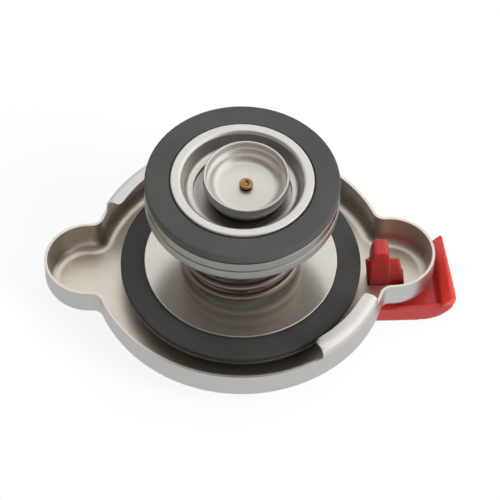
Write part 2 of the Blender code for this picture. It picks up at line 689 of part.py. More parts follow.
def make_swivel_group(group, steel, bright, rubber):
    """Eyelet, diaphragm, gasket and retainer disc, stacked on the cover's boss."""
    bore = EYELET_RADIUS - EYELET_WALL
    flange = EYELET_RADIUS + EYELET_FLANGE
    foot = BOSS_RADIUS - COVER_SHEET - SEAT_GAP
    foot_top = FLOOR_OUT + BOSS_RISE - SEAT_GAP
    top = EYELET_TOP_FLANGE + EYELET_WALL
    lip_top = FLOOR_OUT + EYELET_LIP
    ring_inner = ROD_RADIUS + SEAT_GAP
    eyelet = [(bore, top), (flange, top), (flange, EYELET_TOP_FLANGE), (EYELET_RADIUS, EYELET_TOP_FLANGE),
              (EYELET_RADIUS, foot_top), (foot, foot_top), (foot, FLOOR_OUT), (ring_inner, FLOOR_OUT),
              (ring_inner, lip_top), (bore, lip_top)]
    turned("centre_eyelet", eyelet, group, steel, STEPS_SMALL)

    ring_radius = (bore - SEAT_GAP - ring_inner) / 2.0
    ring_centre = (ring_inner + ring_radius, lip_top + SEAT_GAP + ring_radius)
    ring = arc(ring_centre, ring_radius, math.pi / 2.0, -math.pi * 3.0 / 2.0, 8)[:-1]
    turned("rod_seal", ring, group, rubber, STEPS_SMALL)

    hole = EYELET_RADIUS + SEAT_GAP
    outer = GASKET_RADIUS + DIAPHRAGM_MARGIN
    rim_low = DIAPHRAGM_RIM - DIAPHRAGM_SHEET
    hub_top = DIAPHRAGM_LOW + DIAPHRAGM_SHEET
    diaphragm = [(hole, hub_top), (DIAPHRAGM_HUB, hub_top), (DIAPHRAGM_CONE, DIAPHRAGM_RIM),
                 (outer, DIAPHRAGM_RIM), (outer, rim_low), (DIAPHRAGM_CONE, rim_low),
                 (DIAPHRAGM_HUB, DIAPHRAGM_LOW), (hole, DIAPHRAGM_LOW)]
    turned("diaphragm_disc", diaphragm, group, steel)

    edge = GASKET_THICKNESS * 0.3
    gasket = rounded([(GASKET_BORE, GASKET_TOP, 0.0), (GASKET_RADIUS, GASKET_TOP, edge),
                      (GASKET_RADIUS, GASKET_HEIGHT, edge), (GASKET_BORE, GASKET_HEIGHT, 0.0)])
    turned("neck_gasket", gasket, group, rubber)

    disc_low = DISC_TOP - DISC_SHEET
    well_top = DISC_LOW + DISC_SHEET
    bend = DISC_SHEET
    disc = rounded([(hole, well_top, 0.0), (DISC_WELL - DISC_SHEET, well_top, bend),
                    (DISC_WELL, DISC_TOP, bend), (DISC_RADIUS, DISC_TOP, DISC_SHEET * 0.3),
                    (DISC_RADIUS, disc_low, 0.0), (DISC_WELL + DISC_SHEET * 0.6, disc_low, 0.0),
                    (DISC_WELL - DISC_SHEET * 0.4, DISC_LOW, 0.0), (hole, DISC_LOW, 0.0)])
    turned("retainer_disc", disc, group, bright)


def make_pressure_valve(group, steel, pale, rubber):
    """Spring seat, plate, rubber seal and clamp ring, with the cage that the rod's head lifts."""
    bend = CLAMP_SHEET
    ledge_low = LEDGE_TOP - CLAMP_SHEET
    foot = CLAMP_MOUTH - CLAMP_DRAFT
    clamp = rounded([(LEDGE_BORE, LEDGE_TOP, 0.0), (foot, LEDGE_TOP, bend), (CLAMP_MOUTH, CLAMP_TOP, bend),
                     (CLAMP_RADIUS, CLAMP_TOP, bend * 0.6), (CLAMP_RADIUS, CLAMP_LOW, 0.0),
                     (CLAMP_MOUTH + CLAMP_SHEET, CLAMP_LOW, 0.0), (foot + CLAMP_SHEET, ledge_low, 0.0),
                     (LEDGE_BORE, ledge_low, 0.0)])
    turned("clamp_ring", clamp, group, pale)

    seal_bore = CLAMP_MOUTH + CLAMP_SHEET + SEAT_GAP
    rebate = CLAMP_RADIUS + SEAT_GAP
    edge = SEAL_THICKNESS * 0.25
    seal = rounded([(seal_bore, SEAL_TOP - SEAL_REBATE, 0.0), (rebate, SEAL_TOP - SEAL_REBATE, 0.0),
                    (rebate, SEAL_TOP, 0.0), (SEAL_RADIUS, SEAL_TOP, edge), (SEAL_RADIUS, SEAL_LOW, 0.0),
                    (seal_bore, SEAL_LOW, 0.0)])
    turned("pressure_seal", seal, group, rubber)

    well_mouth = seal_bore
    well_foot = foot + CLAMP_SHEET + SEAT_GAP
    lip_inner = PLATE_RADIUS - PLATE_SHEET
    plate = rounded([(STEM_BORE, PLATE_WELL_TOP, 0.0), (well_foot, PLATE_WELL_TOP, 0.0),
                     (well_mouth, PLATE_TOP, 0.0), (PLATE_RADIUS, PLATE_TOP, PLATE_SHEET * 0.6),
                     (PLATE_RADIUS, PLATE_LIP_LOW, 0.0),
                     (lip_inner, PLATE_LIP_LOW, 0.0), (lip_inner, PLATE_TOP - PLATE_SHEET, 0.0),
                     (well_mouth + PLATE_SHEET, PLATE_TOP - PLATE_SHEET, 0.0),
                     (well_foot + PLATE_SHEET * 0.8, PLATE_WELL_LOW, 0.0), (STEM_BORE, PLATE_WELL_LOW, 0.0)])
    turned("pressure_plate", plate, group, steel)

    seat_bore = CAGE_RADIUS + CAGE_FLANGE + SEAT_GAP
    pocket = MAIN_SPRING_RADIUS + SEAT_GAP
    seat_floor = SEAT_LOW + SEAT_SHEET
    skirt_inner = SEAT_RADIUS - SEAT_SHEET
    seat = rounded([(seat_bore, SEAT_POCKET_TOP, 0.0), (pocket + SEAT_SHEET, SEAT_POCKET_TOP, 0.0),
                    (pocket + SEAT_SHEET, seat_floor, 0.0), (skirt_inner, seat_floor, 0.0),
                    (skirt_inner, SEAT_SKIRT_TOP, 0.0), (SEAT_RADIUS, SEAT_SKIRT_TOP, 0.0),
                    (SEAT_RADIUS, SEAT_LOW, SEAT_SHEET * 0.6), (pocket, SEAT_LOW, 0.0),
                    (pocket, SEAT_POCKET_LOW, 0.0), (seat_bore, SEAT_POCKET_LOW, 0.0)])
    turned("spring_seat", seat, group, steel)

    flange = CAGE_RADIUS + CAGE_FLANGE
    flange_low = SEAT_POCKET_TOP - CAGE_FLANGE_SHEET
    inner = CAGE_RADIUS - CAGE_WALL
    rod_hole = ROD_RADIUS + SEAT_GAP
    cage = [(inner, SEAT_POCKET_TOP), (flange, SEAT_POCKET_TOP), (flange, flange_low),
            (CAGE_RADIUS, flange_low), (CAGE_RADIUS, CAGE_LOW), (rod_hole, CAGE_LOW),
            (rod_hole, CAGE_END_TOP), (inner, CAGE_END_TOP)]
    turned("valve_cage", cage, group, steel, STEPS_SMALL)


def make_vacuum_valve(group, pale, steel, brass, rubber):
    """Stepped cup on a brass stem, with its rubber washer, spring and keeper."""
    step_top = CUP_TOP - CUP_STEP_DEPTH
    inner = CUP_RADIUS - CUP_SHEET
    hole = STEM_RADIUS + SEAT_GAP
    bend = CUP_SHEET
    cup = rounded([(hole, CUP_FLOOR_TOP, 0.0), (CUP_FLOOR, CUP_FLOOR_TOP, bend),
                   (inner - CUP_STEP, step_top - bend, 0.0), (inner, step_top, 0.0), (inner, CUP_TOP, 0.0),
                   (CUP_RADIUS, CUP_TOP, 0.0), (CUP_RADIUS, step_top - 2.4 * bend, bend * 1.2),
                   (CUP_FLOOR + 0.7 * bend, CUP_LOW, bend), (hole, CUP_LOW, 0.0)])
    turned("vacuum_cup", cup, group, pale).location = VACUUM_OFFSET

    washer = [(hole, VACUUM_SEAL_TOP), (VACUUM_SEAL_RADIUS, VACUUM_SEAL_TOP),
              (VACUUM_SEAL_RADIUS, VACUUM_SEAL_LOW), (hole, VACUUM_SEAL_LOW)]
    turned("vacuum_seal", washer, group, rubber, STEPS_SMALL).location = VACUUM_OFFSET

    head_low = CUP_FLOOR_TOP + SEAT_GAP
    head_top = head_low + STEM_HEAD
    rivet_top = STEM_LOW + STEM_RIVET
    rivet_radius = hole + SEAT_GAP
    stem = [(0.0, head_top - STEM_DIMPLE), (STEM_DIMPLE, head_top - STEM_DIMPLE * 0.4),
            (STEM_DIMPLE * 1.3, head_top), (STEM_HEAD_RADIUS - STEM_DIMPLE * 0.5, head_top),
            (STEM_HEAD_RADIUS, head_top - STEM_DIMPLE * 0.5), (STEM_HEAD_RADIUS, head_low),
            (STEM_RADIUS, head_low), (STEM_RADIUS, rivet_top), (rivet_radius, rivet_top),
            (rivet_radius, STEM_LOW), (0.0, STEM_LOW)]
    turned("vacuum_stem", stem, group, brass, STEPS_SMALL, closed=False).location = VACUUM_OFFSET

    keeper = [(hole, KEEPER_TOP), (KEEPER_RADIUS, KEEPER_TOP), (KEEPER_RADIUS, KEEPER_LOW),
              (hole, KEEPER_LOW)]
    turned("spring_keeper", keeper, group, steel, STEPS_SMALL).location = VACUUM_OFFSET


def build():
    clear_scene()
    group = new_collection("radiator_cap")
    cutters = new_collection("cutters")
    cover_steel = new_material("stainless_cover", (0.72, 0.70, 0.66), 1.0, 0.25)
    brushed = new_material("brushed_disc", (0.66, 0.64, 0.60), 1.0, 0.35)
    pressed = new_material("pressed_steel", (0.60, 0.58, 0.55), 1.0, 0.30)
    pale = new_material("pale_steel", (0.78, 0.76, 0.73), 1.0, 0.30)
    spring_steel = new_material("spring_steel", (0.45, 0.42, 0.38), 1.0, 0.30)
    brass = new_material("brass", (0.70, 0.45, 0.18), 1.0, 0.30)
    rubber = new_material("black_rubber", (0.06, 0.06, 0.06), 0.0, 0.65)
    plastic = new_material("red_plastic", (0.60, 0.05, 0.06), 0.0, 0.40)

    make_cover(group, cutters, cover_steel)
    make_swivel_group(group, pressed, brushed, rubber)
    make_lever(group, cutters, plastic)
    make_pull_rod(group, cutters, pressed)
    pin = rod_solid("pivot_pin", PIN_RADIUS, HUB_WIDTH - 2.0 * SEAT_GAP, HINGE, (0, 1, 0), group)
    pin.data.materials.append(pressed)
    washer_bore = ROD_RADIUS + SEAT_GAP
    washer = [(washer_bore, WASHER_LOW + WASHER), (WASHER_RADIUS, WASHER_LOW + WASHER),
              (WASHER_RADIUS, WASHER_LOW), (washer_bore, WASHER_LOW)]
    turned("lift_washer", washer, group, pressed, STEPS_SMALL)
    make_pressure_valve(group, pressed, pale, rubber)
    make_vacuum_valve(group, pale, pressed, brass, rubber)

    main_height = MAIN_SPRING_TOP - MAIN_SPRING_LOW - MAIN_WIRE
    main_turns = 2.0 * CLOSED_TURNS + (main_height - 2.0 * CLOSED_TURNS * MAIN_WIRE) / MAIN_PITCH
    main_radius = MAIN_SPRING_RADIUS - MAIN_WIRE / 2.0
    helix("main_spring", MAIN_WIRE, main_radius, MAIN_SPRING_LOW, MAIN_SPRING_TOP, main_turns, CLOSED_TURNS,
          COIL_STEPS_LARGE, group, spring_steel)
    vacuum_radius = KEEPER_RADIUS - VACUUM_WIRE
    inner_spring = helix("vacuum_spring", VACUUM_WIRE, vacuum_radius, VACUUM_SPRING_LOW, VACUUM_SPRING_TOP,
                         VACUUM_TURNS, CLOSED_TURNS, COIL_STEPS_SMALL, group, spring_steel)
    inner_spring.location = VACUUM_OFFSET


build()
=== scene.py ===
"""Safety radiator cap on a pale studio floor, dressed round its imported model.

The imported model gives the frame: the cap lies on the flat face of its lever, with +Z up through the
valve and +X towards the ear that the lever's hook comes through. Sizes below are in millimetres,
and each mesh is brought to metres when it becomes an object.
"""
import logging
import math
from dataclasses import dataclass, replace
from enum import Enum
from functools import cache
from typing import Callable, Sequence

import bmesh
import bpy
from bmesh.types import BMEdge, BMesh, BMVert
from bpy.types import Material, Node, NodeInputs, NodeOutputs, NodeSocket as Socket, NodeTree, Object
from mathutils import Matrix, Vector


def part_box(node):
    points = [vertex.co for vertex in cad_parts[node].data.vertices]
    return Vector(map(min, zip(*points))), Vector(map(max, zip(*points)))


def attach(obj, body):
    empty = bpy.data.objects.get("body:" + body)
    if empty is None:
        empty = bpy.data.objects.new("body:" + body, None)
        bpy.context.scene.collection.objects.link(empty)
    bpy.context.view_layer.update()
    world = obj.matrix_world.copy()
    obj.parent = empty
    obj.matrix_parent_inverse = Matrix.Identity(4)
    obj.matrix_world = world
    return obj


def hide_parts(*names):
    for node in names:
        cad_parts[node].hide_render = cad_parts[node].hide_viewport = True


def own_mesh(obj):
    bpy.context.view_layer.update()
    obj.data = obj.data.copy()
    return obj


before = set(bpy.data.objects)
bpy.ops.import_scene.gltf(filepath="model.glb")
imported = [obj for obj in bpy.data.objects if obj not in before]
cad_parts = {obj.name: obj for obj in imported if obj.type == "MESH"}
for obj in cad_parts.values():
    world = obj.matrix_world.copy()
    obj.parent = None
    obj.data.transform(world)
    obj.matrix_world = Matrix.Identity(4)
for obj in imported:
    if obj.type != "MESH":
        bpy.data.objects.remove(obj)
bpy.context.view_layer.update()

LOG = logging.getLogger("radiator_cap")
MM = 0.001
FULL_TURN = 2.0 * math.pi
QUARTER_TURN = math.pi / 2.0
ORIGIN = (0.0, 0.0, 0.0)
UP = (0.0, 0.0, 1.0)
UPRIGHT = Matrix.Rotation(QUARTER_TURN, 4, "X")
# In millimetres: points closer than this are one, the gap between nested pieces, a cutter's overhang.
MERGE = 0.0004
SEAT_GAP = 0.3
MARGIN = 2.0
FINE_STEPS = 144
SMALL_STEPS = 64
SMOOTH_ANGLE = math.radians(32.0)
# Places of a colour Mix node's sockets, which share their names with those for other kinds of value.
MIX_FIRST, MIX_SECOND, MIX_RESULT = 6, 7, 2
BUMP_DEPTH = 0.02 * MM
WHITE = (1.0, 1.0, 1.0)
BLACK = (0.0, 0.0, 0.0)

Colour = tuple[float, float, float]
Corner = tuple[float, float, float]


class Brushing(Enum):
    """How the fine lines of a metal surface run."""

    PRESSED = "pressed"
    TURNED = "turned"


class Body(Enum):
    """The moving bodies of the cap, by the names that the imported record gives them."""

    COVER = "cover"
    SWIVEL = "swivel"
    ROD = "rod"
    LEVER = "lever"
    VALVE = "valve"
    VACUUM = "vacuum"


def assign(target: object, **settings: object) -> None:
    """Sets an object's properties by name."""
    for name, value in settings.items():
        setattr(target, name, value)


def new_object(name: str, data: object) -> Object:
    """Puts a mesh, lamp or camera into the scene as an object, at the origin."""
    made = bpy.data.objects.new(name, data)
    bpy.context.scene.collection.objects.link(made)
    return made


class NodeBench:
    """Lays out and links the nodes of one tree."""

    def __init__(self, tree: NodeTree) -> None:
        """Keeps the material's or the group's tree to work in."""
        self.tree = tree

    def add(self, kind: str, **settings: object) -> Node:
        """Adds a node and sets its properties.

        Args:
            kind: the node's type name.
            settings: properties of the node, by name.

        Returns:
            The new node.
        """
        node = self.tree.nodes.new(kind)
        assign(node, **settings)
        return node

    def link(self, source: Socket, target: Socket) -> None:
        """Links an output socket to an input socket."""
        self.tree.links.new(source, target)

    def feed(self, node: Node, values: dict[object, object]) -> None:
        """Links sockets to a node's inputs, or sets plain values on them.

        Args:
            node: the node to feed.
            values: a socket, number, vector or colour for each input, by name or place.
        """
        for name, value in values.items():
            socket = node.inputs[name]
            if isinstance(value, Socket):
                self.link(value, socket)
            else:
                socket.default_value = (*value, 1.0) if socket.type == "RGBA" else value

    def result(self, kind: str, values: dict[object, object], output: object = 0,
               **settings: object) -> Socket:
        """Adds a node, feeds it and gives one of its outputs.

        Args:
            kind: the node's type name.
            values: what its inputs get, by name or place.
            output: the output's name or place.
            settings: properties of the node, by name.

        Returns:
            The output's socket.
        """
        node = self.add(kind, **settings)
        self.feed(node, values)
        return node.outputs[output]

    def math(self, operation: str, first: object, second: object = 0.0, clamp: bool = False) -> Socket:
        """Works with two sockets or numbers, and keeps the result from 0 to 1 if clamp says so."""
        return self.result("ShaderNodeMath", {0: first, 1: second}, operation=operation, use_clamp=clamp)

    def vector_math(self, operation: str, first: Socket, second: object, output: str = "Vector") -> Socket:
        """Works with two vectors, or with a vector and a number if the operation is SCALE."""
        values = {0: first, "Scale" if operation == "SCALE" else 1: second}
        return self.result("ShaderNodeVectorMath", values, output, operation=operation)

    def noise(self, vector: Socket, scale: float, detail: float = 2.0, roughness: float = 0.5) -> Socket:
        """Gives a noise from 0 to 1, with scale lumps in a unit and detail finer layers."""
        values = {"Vector": vector, "Scale": scale, "Detail": detail, "Roughness": roughness}
        return self.result("ShaderNodeTexNoise", values, "Fac")

    def between(self, value: Socket, low: object, high: object) -> Socket:
        """Spreads a 0 to 1 value from low to high, each a socket or a number."""
        return self.result("ShaderNodeMapRange", {"Value": value, "To Min": low, "To Max": high}, "Result")

    def mix(self, share: Socket, first: object, second: object) -> Socket:
        """Mixes two colours, each a socket or plain, by the second one's share."""
        values = {"Factor": share, MIX_FIRST: first, MIX_SECOND: second}
        return self.result("ShaderNodeMix", values, MIX_RESULT, data_type="RGBA")

    def split(self, vector: Socket) -> NodeOutputs:
        """Gives a vector's sockets X, Y and Z."""
        return self.result("ShaderNodeSeparateXYZ", {0: vector}).node.outputs

    def radius(self, vector: Socket) -> Socket:
        """Works out how far from the cap's axis a place is.

        Args:
            vector: the place's coordinates.

        Returns:
            The distance, in metres.
        """
        parts = self.split(vector)
        squares = [self.math("POWER", parts[axis], 2.0) for axis in "XY"]
        return self.math("SQRT", self.math("ADD", *squares))


def new_group(name: str, outputs: Sequence[str], **inputs: object,
              ) -> tuple[NodeTree, NodeBench, NodeOutputs, NodeInputs]:
    """Starts a shader node group that reads coordinates.

    Args:
        name: the group's name.
        outputs: the names of its outputs, which are numbers.
        inputs: each further input's default number, or None for a vector.

    Returns:
        The group's tree, a bench for it, the sockets it is given and the sockets it fills.
    """
    tree = bpy.data.node_groups.new(name, "ShaderNodeTree")
    for label, value in {"Vector": None, **inputs}.items():
        kind = "NodeSocketVector" if value is None else "NodeSocketFloat"
        socket = tree.interface.new_socket(name=label, in_out="INPUT", socket_type=kind)
        if value is not None:
            socket.default_value = value
    for label in outputs:
        tree.interface.new_socket(name=label, in_out="OUTPUT", socket_type="NodeSocketFloat")
    bench = NodeBench(tree)
    return tree, bench, bench.add("NodeGroupInput").outputs, bench.add("NodeGroupOutput").inputs


def new_material(name: str, values: dict[str, object]) -> tuple[Material, NodeBench, Node]:
    """Makes a material with one shader.

    Args:
        name: the material's name.
        values: plain values for the shader's inputs, by name.

    Returns:
        The material, a bench for its tree and the shader node.
    """
    material = bpy.data.materials.new(name)
    material.use_nodes = True
    bench = NodeBench(material.node_tree)
    shader = material.node_tree.nodes["Principled BSDF"]
    bench.feed(shader, values)
    return material, bench, shader


class Effects:
    """Surface effects that several finishes share, each built once as a node group."""

    @staticmethod
    @cache
    def smudges() -> NodeTree:
        """Cloudy handling marks and small specks.

        Returns:
            A group with outputs Cloud and Specks, both from 0 to 1.
        """
        tree, bench, given, wanted = new_group("smudges", ("Cloud", "Specks"), Size=1.0)
        scaled = bench.vector_math("SCALE", given["Vector"], given["Size"])
        wide = bench.noise(scaled, scale=90.0, detail=4.0, roughness=0.55)
        fine = bench.noise(scaled, scale=900.0, detail=3.0, roughness=0.6)
        for name, lumps, floor, gain in (("Cloud", wide, 0.3, 2.2), ("Specks", fine, 0.6, 6.0)):
            above = bench.math("SUBTRACT", lumps, floor)
            bench.link(bench.math("MULTIPLY", above, gain, clamp=True), wanted[name])
        return tree

    @staticmethod
    @cache
    def turned_lines() -> NodeTree:
        """Fine rings left by turning or circular brushing about Z.

        Returns:
            A group with output Lines, from 0 to 1.
        """
        tree, bench, given, wanted = new_group("turned_lines", ("Lines",), Pitch=5000.0)
        streaks = 1.6
        parts = bench.split(given["Vector"])
        turn = bench.math("ARCTAN2", parts["Y"], parts["X"])
        where = bench.result("ShaderNodeCombineXYZ", {
            "X": bench.math("MULTIPLY", bench.radius(given["Vector"]), given["Pitch"]),
            "Y": bench.math("MULTIPLY", turn, streaks),
            "Z": bench.math("MULTIPLY", parts["Z"], given["Pitch"])})
        bench.link(bench.noise(where, scale=1.0, detail=3.0, roughness=0.7), wanted["Lines"])
        return tree

    @staticmethod
    @cache
    def rim_mask() -> NodeTree:
        """Tells a turned piece's rim from its middle.

        Returns:
            A group with output Outside, 0 within the radius and 1 a millimetre past it.
        """
        tree, bench, given, wanted = new_group("rim_mask", ("Outside",), Radius=0.01)
        past = bench.math("SUBTRACT", bench.radius(given["Vector"]), given["Radius"])
        bench.link(bench.math("MULTIPLY", past, 1.0 / MM, clamp=True), wanted["Outside"])
        return tree

    @staticmethod
    @cache
    def painted_light_mask() -> NodeTree:
        """Tells a pressing's outer walls and its raised tabs from its inside, where painted shade and
        painted light go.

        Returns:
            A group with outputs Wall, 1 on walls that face away from Z, and Raised, 1 above the height.
        """
        tree, bench, given, wanted = new_group("painted_light_mask", ("Wall", "Raised"), Facing=None, Height=0.01)
        steepness, softness = 3.0, 0.5 * MM
        flat = bench.vector_math("MULTIPLY", given["Vector"], (1.0, 1.0, 0.0))
        away = bench.vector_math("NORMALIZE", flat, ORIGIN)
        along = bench.vector_math("DOT_PRODUCT", away, given["Facing"], "Value")
        bench.link(bench.math("MULTIPLY", along, steepness, clamp=True), wanted["Wall"])
        above = bench.math("SUBTRACT", bench.split(given["Vector"])["Z"], given["Height"])
        bench.link(bench.math("MULTIPLY", above, 1.0 / softness, clamp=True), wanted["Raised"])
        return tree

    @staticmethod
    @cache
    def fine_grain() -> NodeTree:
        """Even small grain of moulded rubber or plastic.

        Returns:
            A group with output Grain, from 0 to 1.
        """
        tree, bench, given, wanted = new_group("fine_grain", ("Grain",), Scale=3500.0)
        scaled = bench.vector_math("SCALE", given["Vector"], given["Scale"])
        lumps = bench.math("MULTIPLY", bench.noise(scaled, scale=1.0), bench.noise(scaled, scale=3.1))
        bench.link(bench.between(lumps, 0.0, 2.0), wanted["Grain"])
        return tree


@dataclass(frozen=True)
class Finish:
    """What every finish has: its name, the record's slot that it stands for, its colour and roughness."""

    name: str
    slot: str
    colour: Colour
    roughness: float

    def _start(self) -> tuple[Material, NodeBench, Node, Socket]:
        """Makes the material, a bench for its tree, its shader and its coordinates' socket."""
        made = new_material(self.name, {"Base Color": self.colour, "Roughness": self.roughness})
        return *made, made[1].add("ShaderNodeTexCoord").outputs["Object"]

    @staticmethod
    def _effect(bench: NodeBench, effect: Callable[[], NodeTree], vector: Socket,
                **values: object) -> NodeOutputs:
        """Places a shared effect in a material.

        Args:
            bench: the material's bench.
            effect: gives the effect's group.
            vector: the coordinates' socket.
            values: what the group's further inputs get, by name.

        Returns:
            The outputs of the group's node.
        """
        values["Vector"] = vector
        return bench.result("ShaderNodeGroup", values, node_tree=effect()).node.outputs

    def _grain(self, bench: NodeBench, vector: Socket, scale: float) -> Socket:
        """Gives the grain of a moulded or pressed surface, with scale lumps per metre."""
        return self._effect(bench, Effects.fine_grain, vector, Scale=scale)["Grain"]

    def _past(self, bench: NodeBench, vector: Socket, radius: float) -> Socket:
        """Tells what lies past a radius, in millimetres, from what lies within it."""
        return self._effect(bench, Effects.rim_mask, vector, Radius=radius * MM)["Outside"]

    @staticmethod
    def _bump(bench: NodeBench, shader: Node, height: Socket, strength: float,
              depth: float = BUMP_DEPTH) -> None:
        """Feeds a height, depth metres deep, to the shader's normal with a strength from 0 to 1."""
        values = {"Strength": strength, "Distance": depth, "Height": height}
        bench.link(bench.result("ShaderNodeBump", values, "Normal"), shader.inputs["Normal"])


@dataclass(frozen=True)
class Metal(Finish):
    """Pressed or turned steel or brass, whose rim and middle can differ, with painted shade on its outer
    walls and painted light on its raised tabs.
    """

    brushing: Brushing = Brushing.PRESSED
    tint: Colour = (0.5, 0.46, 0.40)
    spread: float = 0.06
    bump: float = 0.02
    grain: float = 420.0
    pitch: float = 2400.0
    stain: float = 0.18
    # Past this radius, in millimetres, the colour turns darker; on the plate that darkens its side band.
    darker_from: float = 0.0
    darker_colour: Colour = (0.34, 0.33, 0.305)
    metallic: float = 1.0
    middle: float = 0.0
    middle_roughness: float = 0.3
    middle_colour: Colour = (0.76, 0.73, 0.69)
    # Painted light: walls facing out take the outside colour as painted shade, and parts above the given
    # height take the raised colour as painted light.
    painted_light_above: float = 0.0
    outside: Colour = (0.62, 0.61, 0.595)
    raised: Colour = (0.74, 0.715, 0.685)

    def build(self) -> Material:
        """Makes the material.

        Returns:
            The finished material.
        """
        material, bench, shader, vector = self._start()
        cloud = self._effect(bench, Effects.smudges, vector, Size=1.0)["Cloud"]
        if self.brushing is Brushing.TURNED:
            lines = self._effect(bench, Effects.turned_lines, vector, Pitch=self.pitch)["Lines"]
        else:
            lines = self._grain(bench, vector, self.grain)
        colour = bench.mix(bench.math("MULTIPLY", cloud, self.stain), self.colour, self.tint)
        if self.darker_from:
            colour = bench.mix(self._past(bench, vector, self.darker_from), colour, self.darker_colour)
        # Inside the middle radius: its own colour, which on the plate is painted shade, and its own
        # roughness.
        if self.middle:
            far = self._past(bench, vector, self.middle)
            colour = bench.mix(far, self.middle_colour, colour)
        # Painted shade on outer walls, then painted light on raised tabs.
        if self.painted_light_above:
            mask = self._effect(bench, Effects.painted_light_mask, vector, Height=self.painted_light_above * MM,
                                Facing=vector.node.outputs["Normal"])
            colour = bench.mix(mask["Wall"], colour, self.outside)
            colour = bench.mix(mask["Raised"], colour, self.raised)
        cloudy = bench.math("MULTIPLY", cloud, 0.6 * self.spread)
        grainy = bench.math("MULTIPLY", lines, self.spread)
        base = bench.math("ADD", grainy, self.roughness - 0.5 * self.spread)
        roughness = bench.math("ADD", base, cloudy, clamp=True)
        if self.middle:
            change = bench.between(far, self.middle_roughness - self.roughness, 0.0)
            roughness = bench.math("ADD", roughness, change, clamp=True)
        bench.feed(shader, {"Base Color": colour, "Metallic": self.metallic, "Roughness": roughness})
        self._bump(bench, shader, lines, self.bump)
        return material


@dataclass(frozen=True)
class Rubber(Finish):
    """Moulded black rubber with a dusty bloom."""

    bloom: Colour = (0.16, 0.16, 0.155)
    grain: float = 4200.0
    dust: float = 0.35
    specks: float = 0.12
    unevenness: float = 0.12

    def build(self) -> Material:
        """Makes the material.

        Returns:
            The finished material.
        """
        material, bench, shader, vector = self._start()
        marks = self._effect(bench, Effects.smudges, vector, Size=1.3)
        grain = self._grain(bench, vector, self.grain)
        cloud = bench.math("MULTIPLY", marks["Cloud"], self.dust)
        dusty = bench.math("ADD", cloud, bench.math("MULTIPLY", marks["Specks"], self.specks), clamp=True)
        rough = bench.math("MULTIPLY", grain, self.unevenness)
        bench.feed(shader, {
            "Base Color": bench.mix(dusty, self.colour, self.bloom), "Specular IOR Level": 0.45,
            "Roughness": bench.math("ADD", rough, self.roughness)})
        self._bump(bench, shader, grain, strength=0.25, depth=1.5 * BUMP_DEPTH)
        return material


@dataclass(frozen=True)
class Plastic(Finish):
    """Injection-moulded plastic, a little translucent, with a soft sheen and a painted glow on the thin lip.
    """

    deep: Colour = (0.30, 0.01, 0.015)
    # Painted glow: the lip past this radius and above this height takes a lighter colour for light shining
    # through the thin plastic.
    painted_glow: Colour = (0.90, 0.072, 0.058)
    glow_from: float = 40.1
    glow_above: float = 4.6
    grain: float = 2600.0
    flow: float = 0.25
    unevenness: float = 0.10

    def build(self) -> Material:
        """Makes the material.

        Returns:
            The finished material.
        """
        material, bench, shader, vector = self._start()
        cloud = self._effect(bench, Effects.smudges, vector, Size=0.9)["Cloud"]
        flow = bench.math("MULTIPLY", cloud, self.flow)
        grain = self._grain(bench, vector, self.grain)
        rough = bench.math("MULTIPLY", grain, self.unevenness)
        # Painted glow on the thin lip, for light shining through it.
        raised = self._effect(bench, Effects.painted_light_mask, vector, Height=self.glow_above * MM)["Raised"]
        edge = bench.math("MULTIPLY", self._past(bench, vector, self.glow_from), raised)
        bench.feed(shader, {
            "Base Color": bench.mix(edge, bench.mix(flow, self.colour, self.deep), self.painted_glow),
            "Roughness": bench.math("ADD", rough, self.roughness),
            "Subsurface Weight": 0.6, "Subsurface Radius": (0.003, 0.0006, 0.0004),
            "Subsurface Scale": 0.9, "Coat Weight": 0.15, "Coat Roughness": 0.25})
        self._bump(bench, shader, grain, strength=0.15)
        return material


PALE = Metal("pale_steel", "pale_steel", (0.76, 0.73, 0.69), 0.30, tint=(0.70, 0.67, 0.63),
             bump=0.0015, middle=11.4, middle_roughness=0.36, metallic=0.9)
FINISHES: dict[str, Finish] = {
    # The cover's outer walls carry painted shade, and its cam tabs above 11.9 mm a painted tone for the
    # light on them.
    "cover": Metal("satin_cover", "cover_steel", (0.825, 0.76, 0.665), 0.36, tint=(0.70, 0.63, 0.54),
                   bump=0.006, metallic=0.98, painted_light_above=11.9),
    "disc": Metal("brushed_disc", "brushed_disc", (0.74, 0.70, 0.64), 0.20, brushing=Brushing.TURNED,
                  spread=0.05, bump=0.02, metallic=0.9),
    "pressed": Metal("pressed_steel", "pressed_steel", (0.52, 0.50, 0.465), 0.30),
    # The plate's middle colour is painted shade in the well under the vacuum cup.
    "plate": Metal("stamped_steel", "pressed_steel", (0.62, 0.60, 0.57), 0.22, bump=0.004,
                   darker_from=16.0, middle=9.0, middle_roughness=0.36, middle_colour=(0.37, 0.35, 0.335)),
    "pale": PALE,
    # The cup's dark outside colour is painted shade and reflection of the dark recess on its outer wall;
    # nothing reaches 99 mm, so the tabs' colour is never used.
    "cup": replace(PALE, name="cup_steel", painted_light_above=99.0, outside=(0.36, 0.35, 0.325)),
    "seat": Metal("dull_pan", "pressed_steel", (0.42, 0.405, 0.385), 0.36, tint=(0.36, 0.345, 0.325)),
    "wire": Metal("spring_wire", "spring_steel", (0.29, 0.245, 0.205), 0.30,
                  tint=(0.20, 0.155, 0.125), bump=0.004),
    "brass": Metal("stem_brass", "brass", (0.50, 0.31, 0.15), 0.32, tint=(0.28, 0.12, 0.04), stain=0.5),
    "rubber": Rubber("black_rubber", "rubber", (0.066, 0.066, 0.064), 0.55, bloom=(0.12, 0.12, 0.115)),
    "gasket": Rubber("gasket_rubber", "rubber", (0.045, 0.044, 0.041), 0.55, bloom=(0.09, 0.088, 0.082)),
    "plastic": Plastic("red_plastic", "red_plastic", (0.55, 0.034, 0.033), 0.36),
}


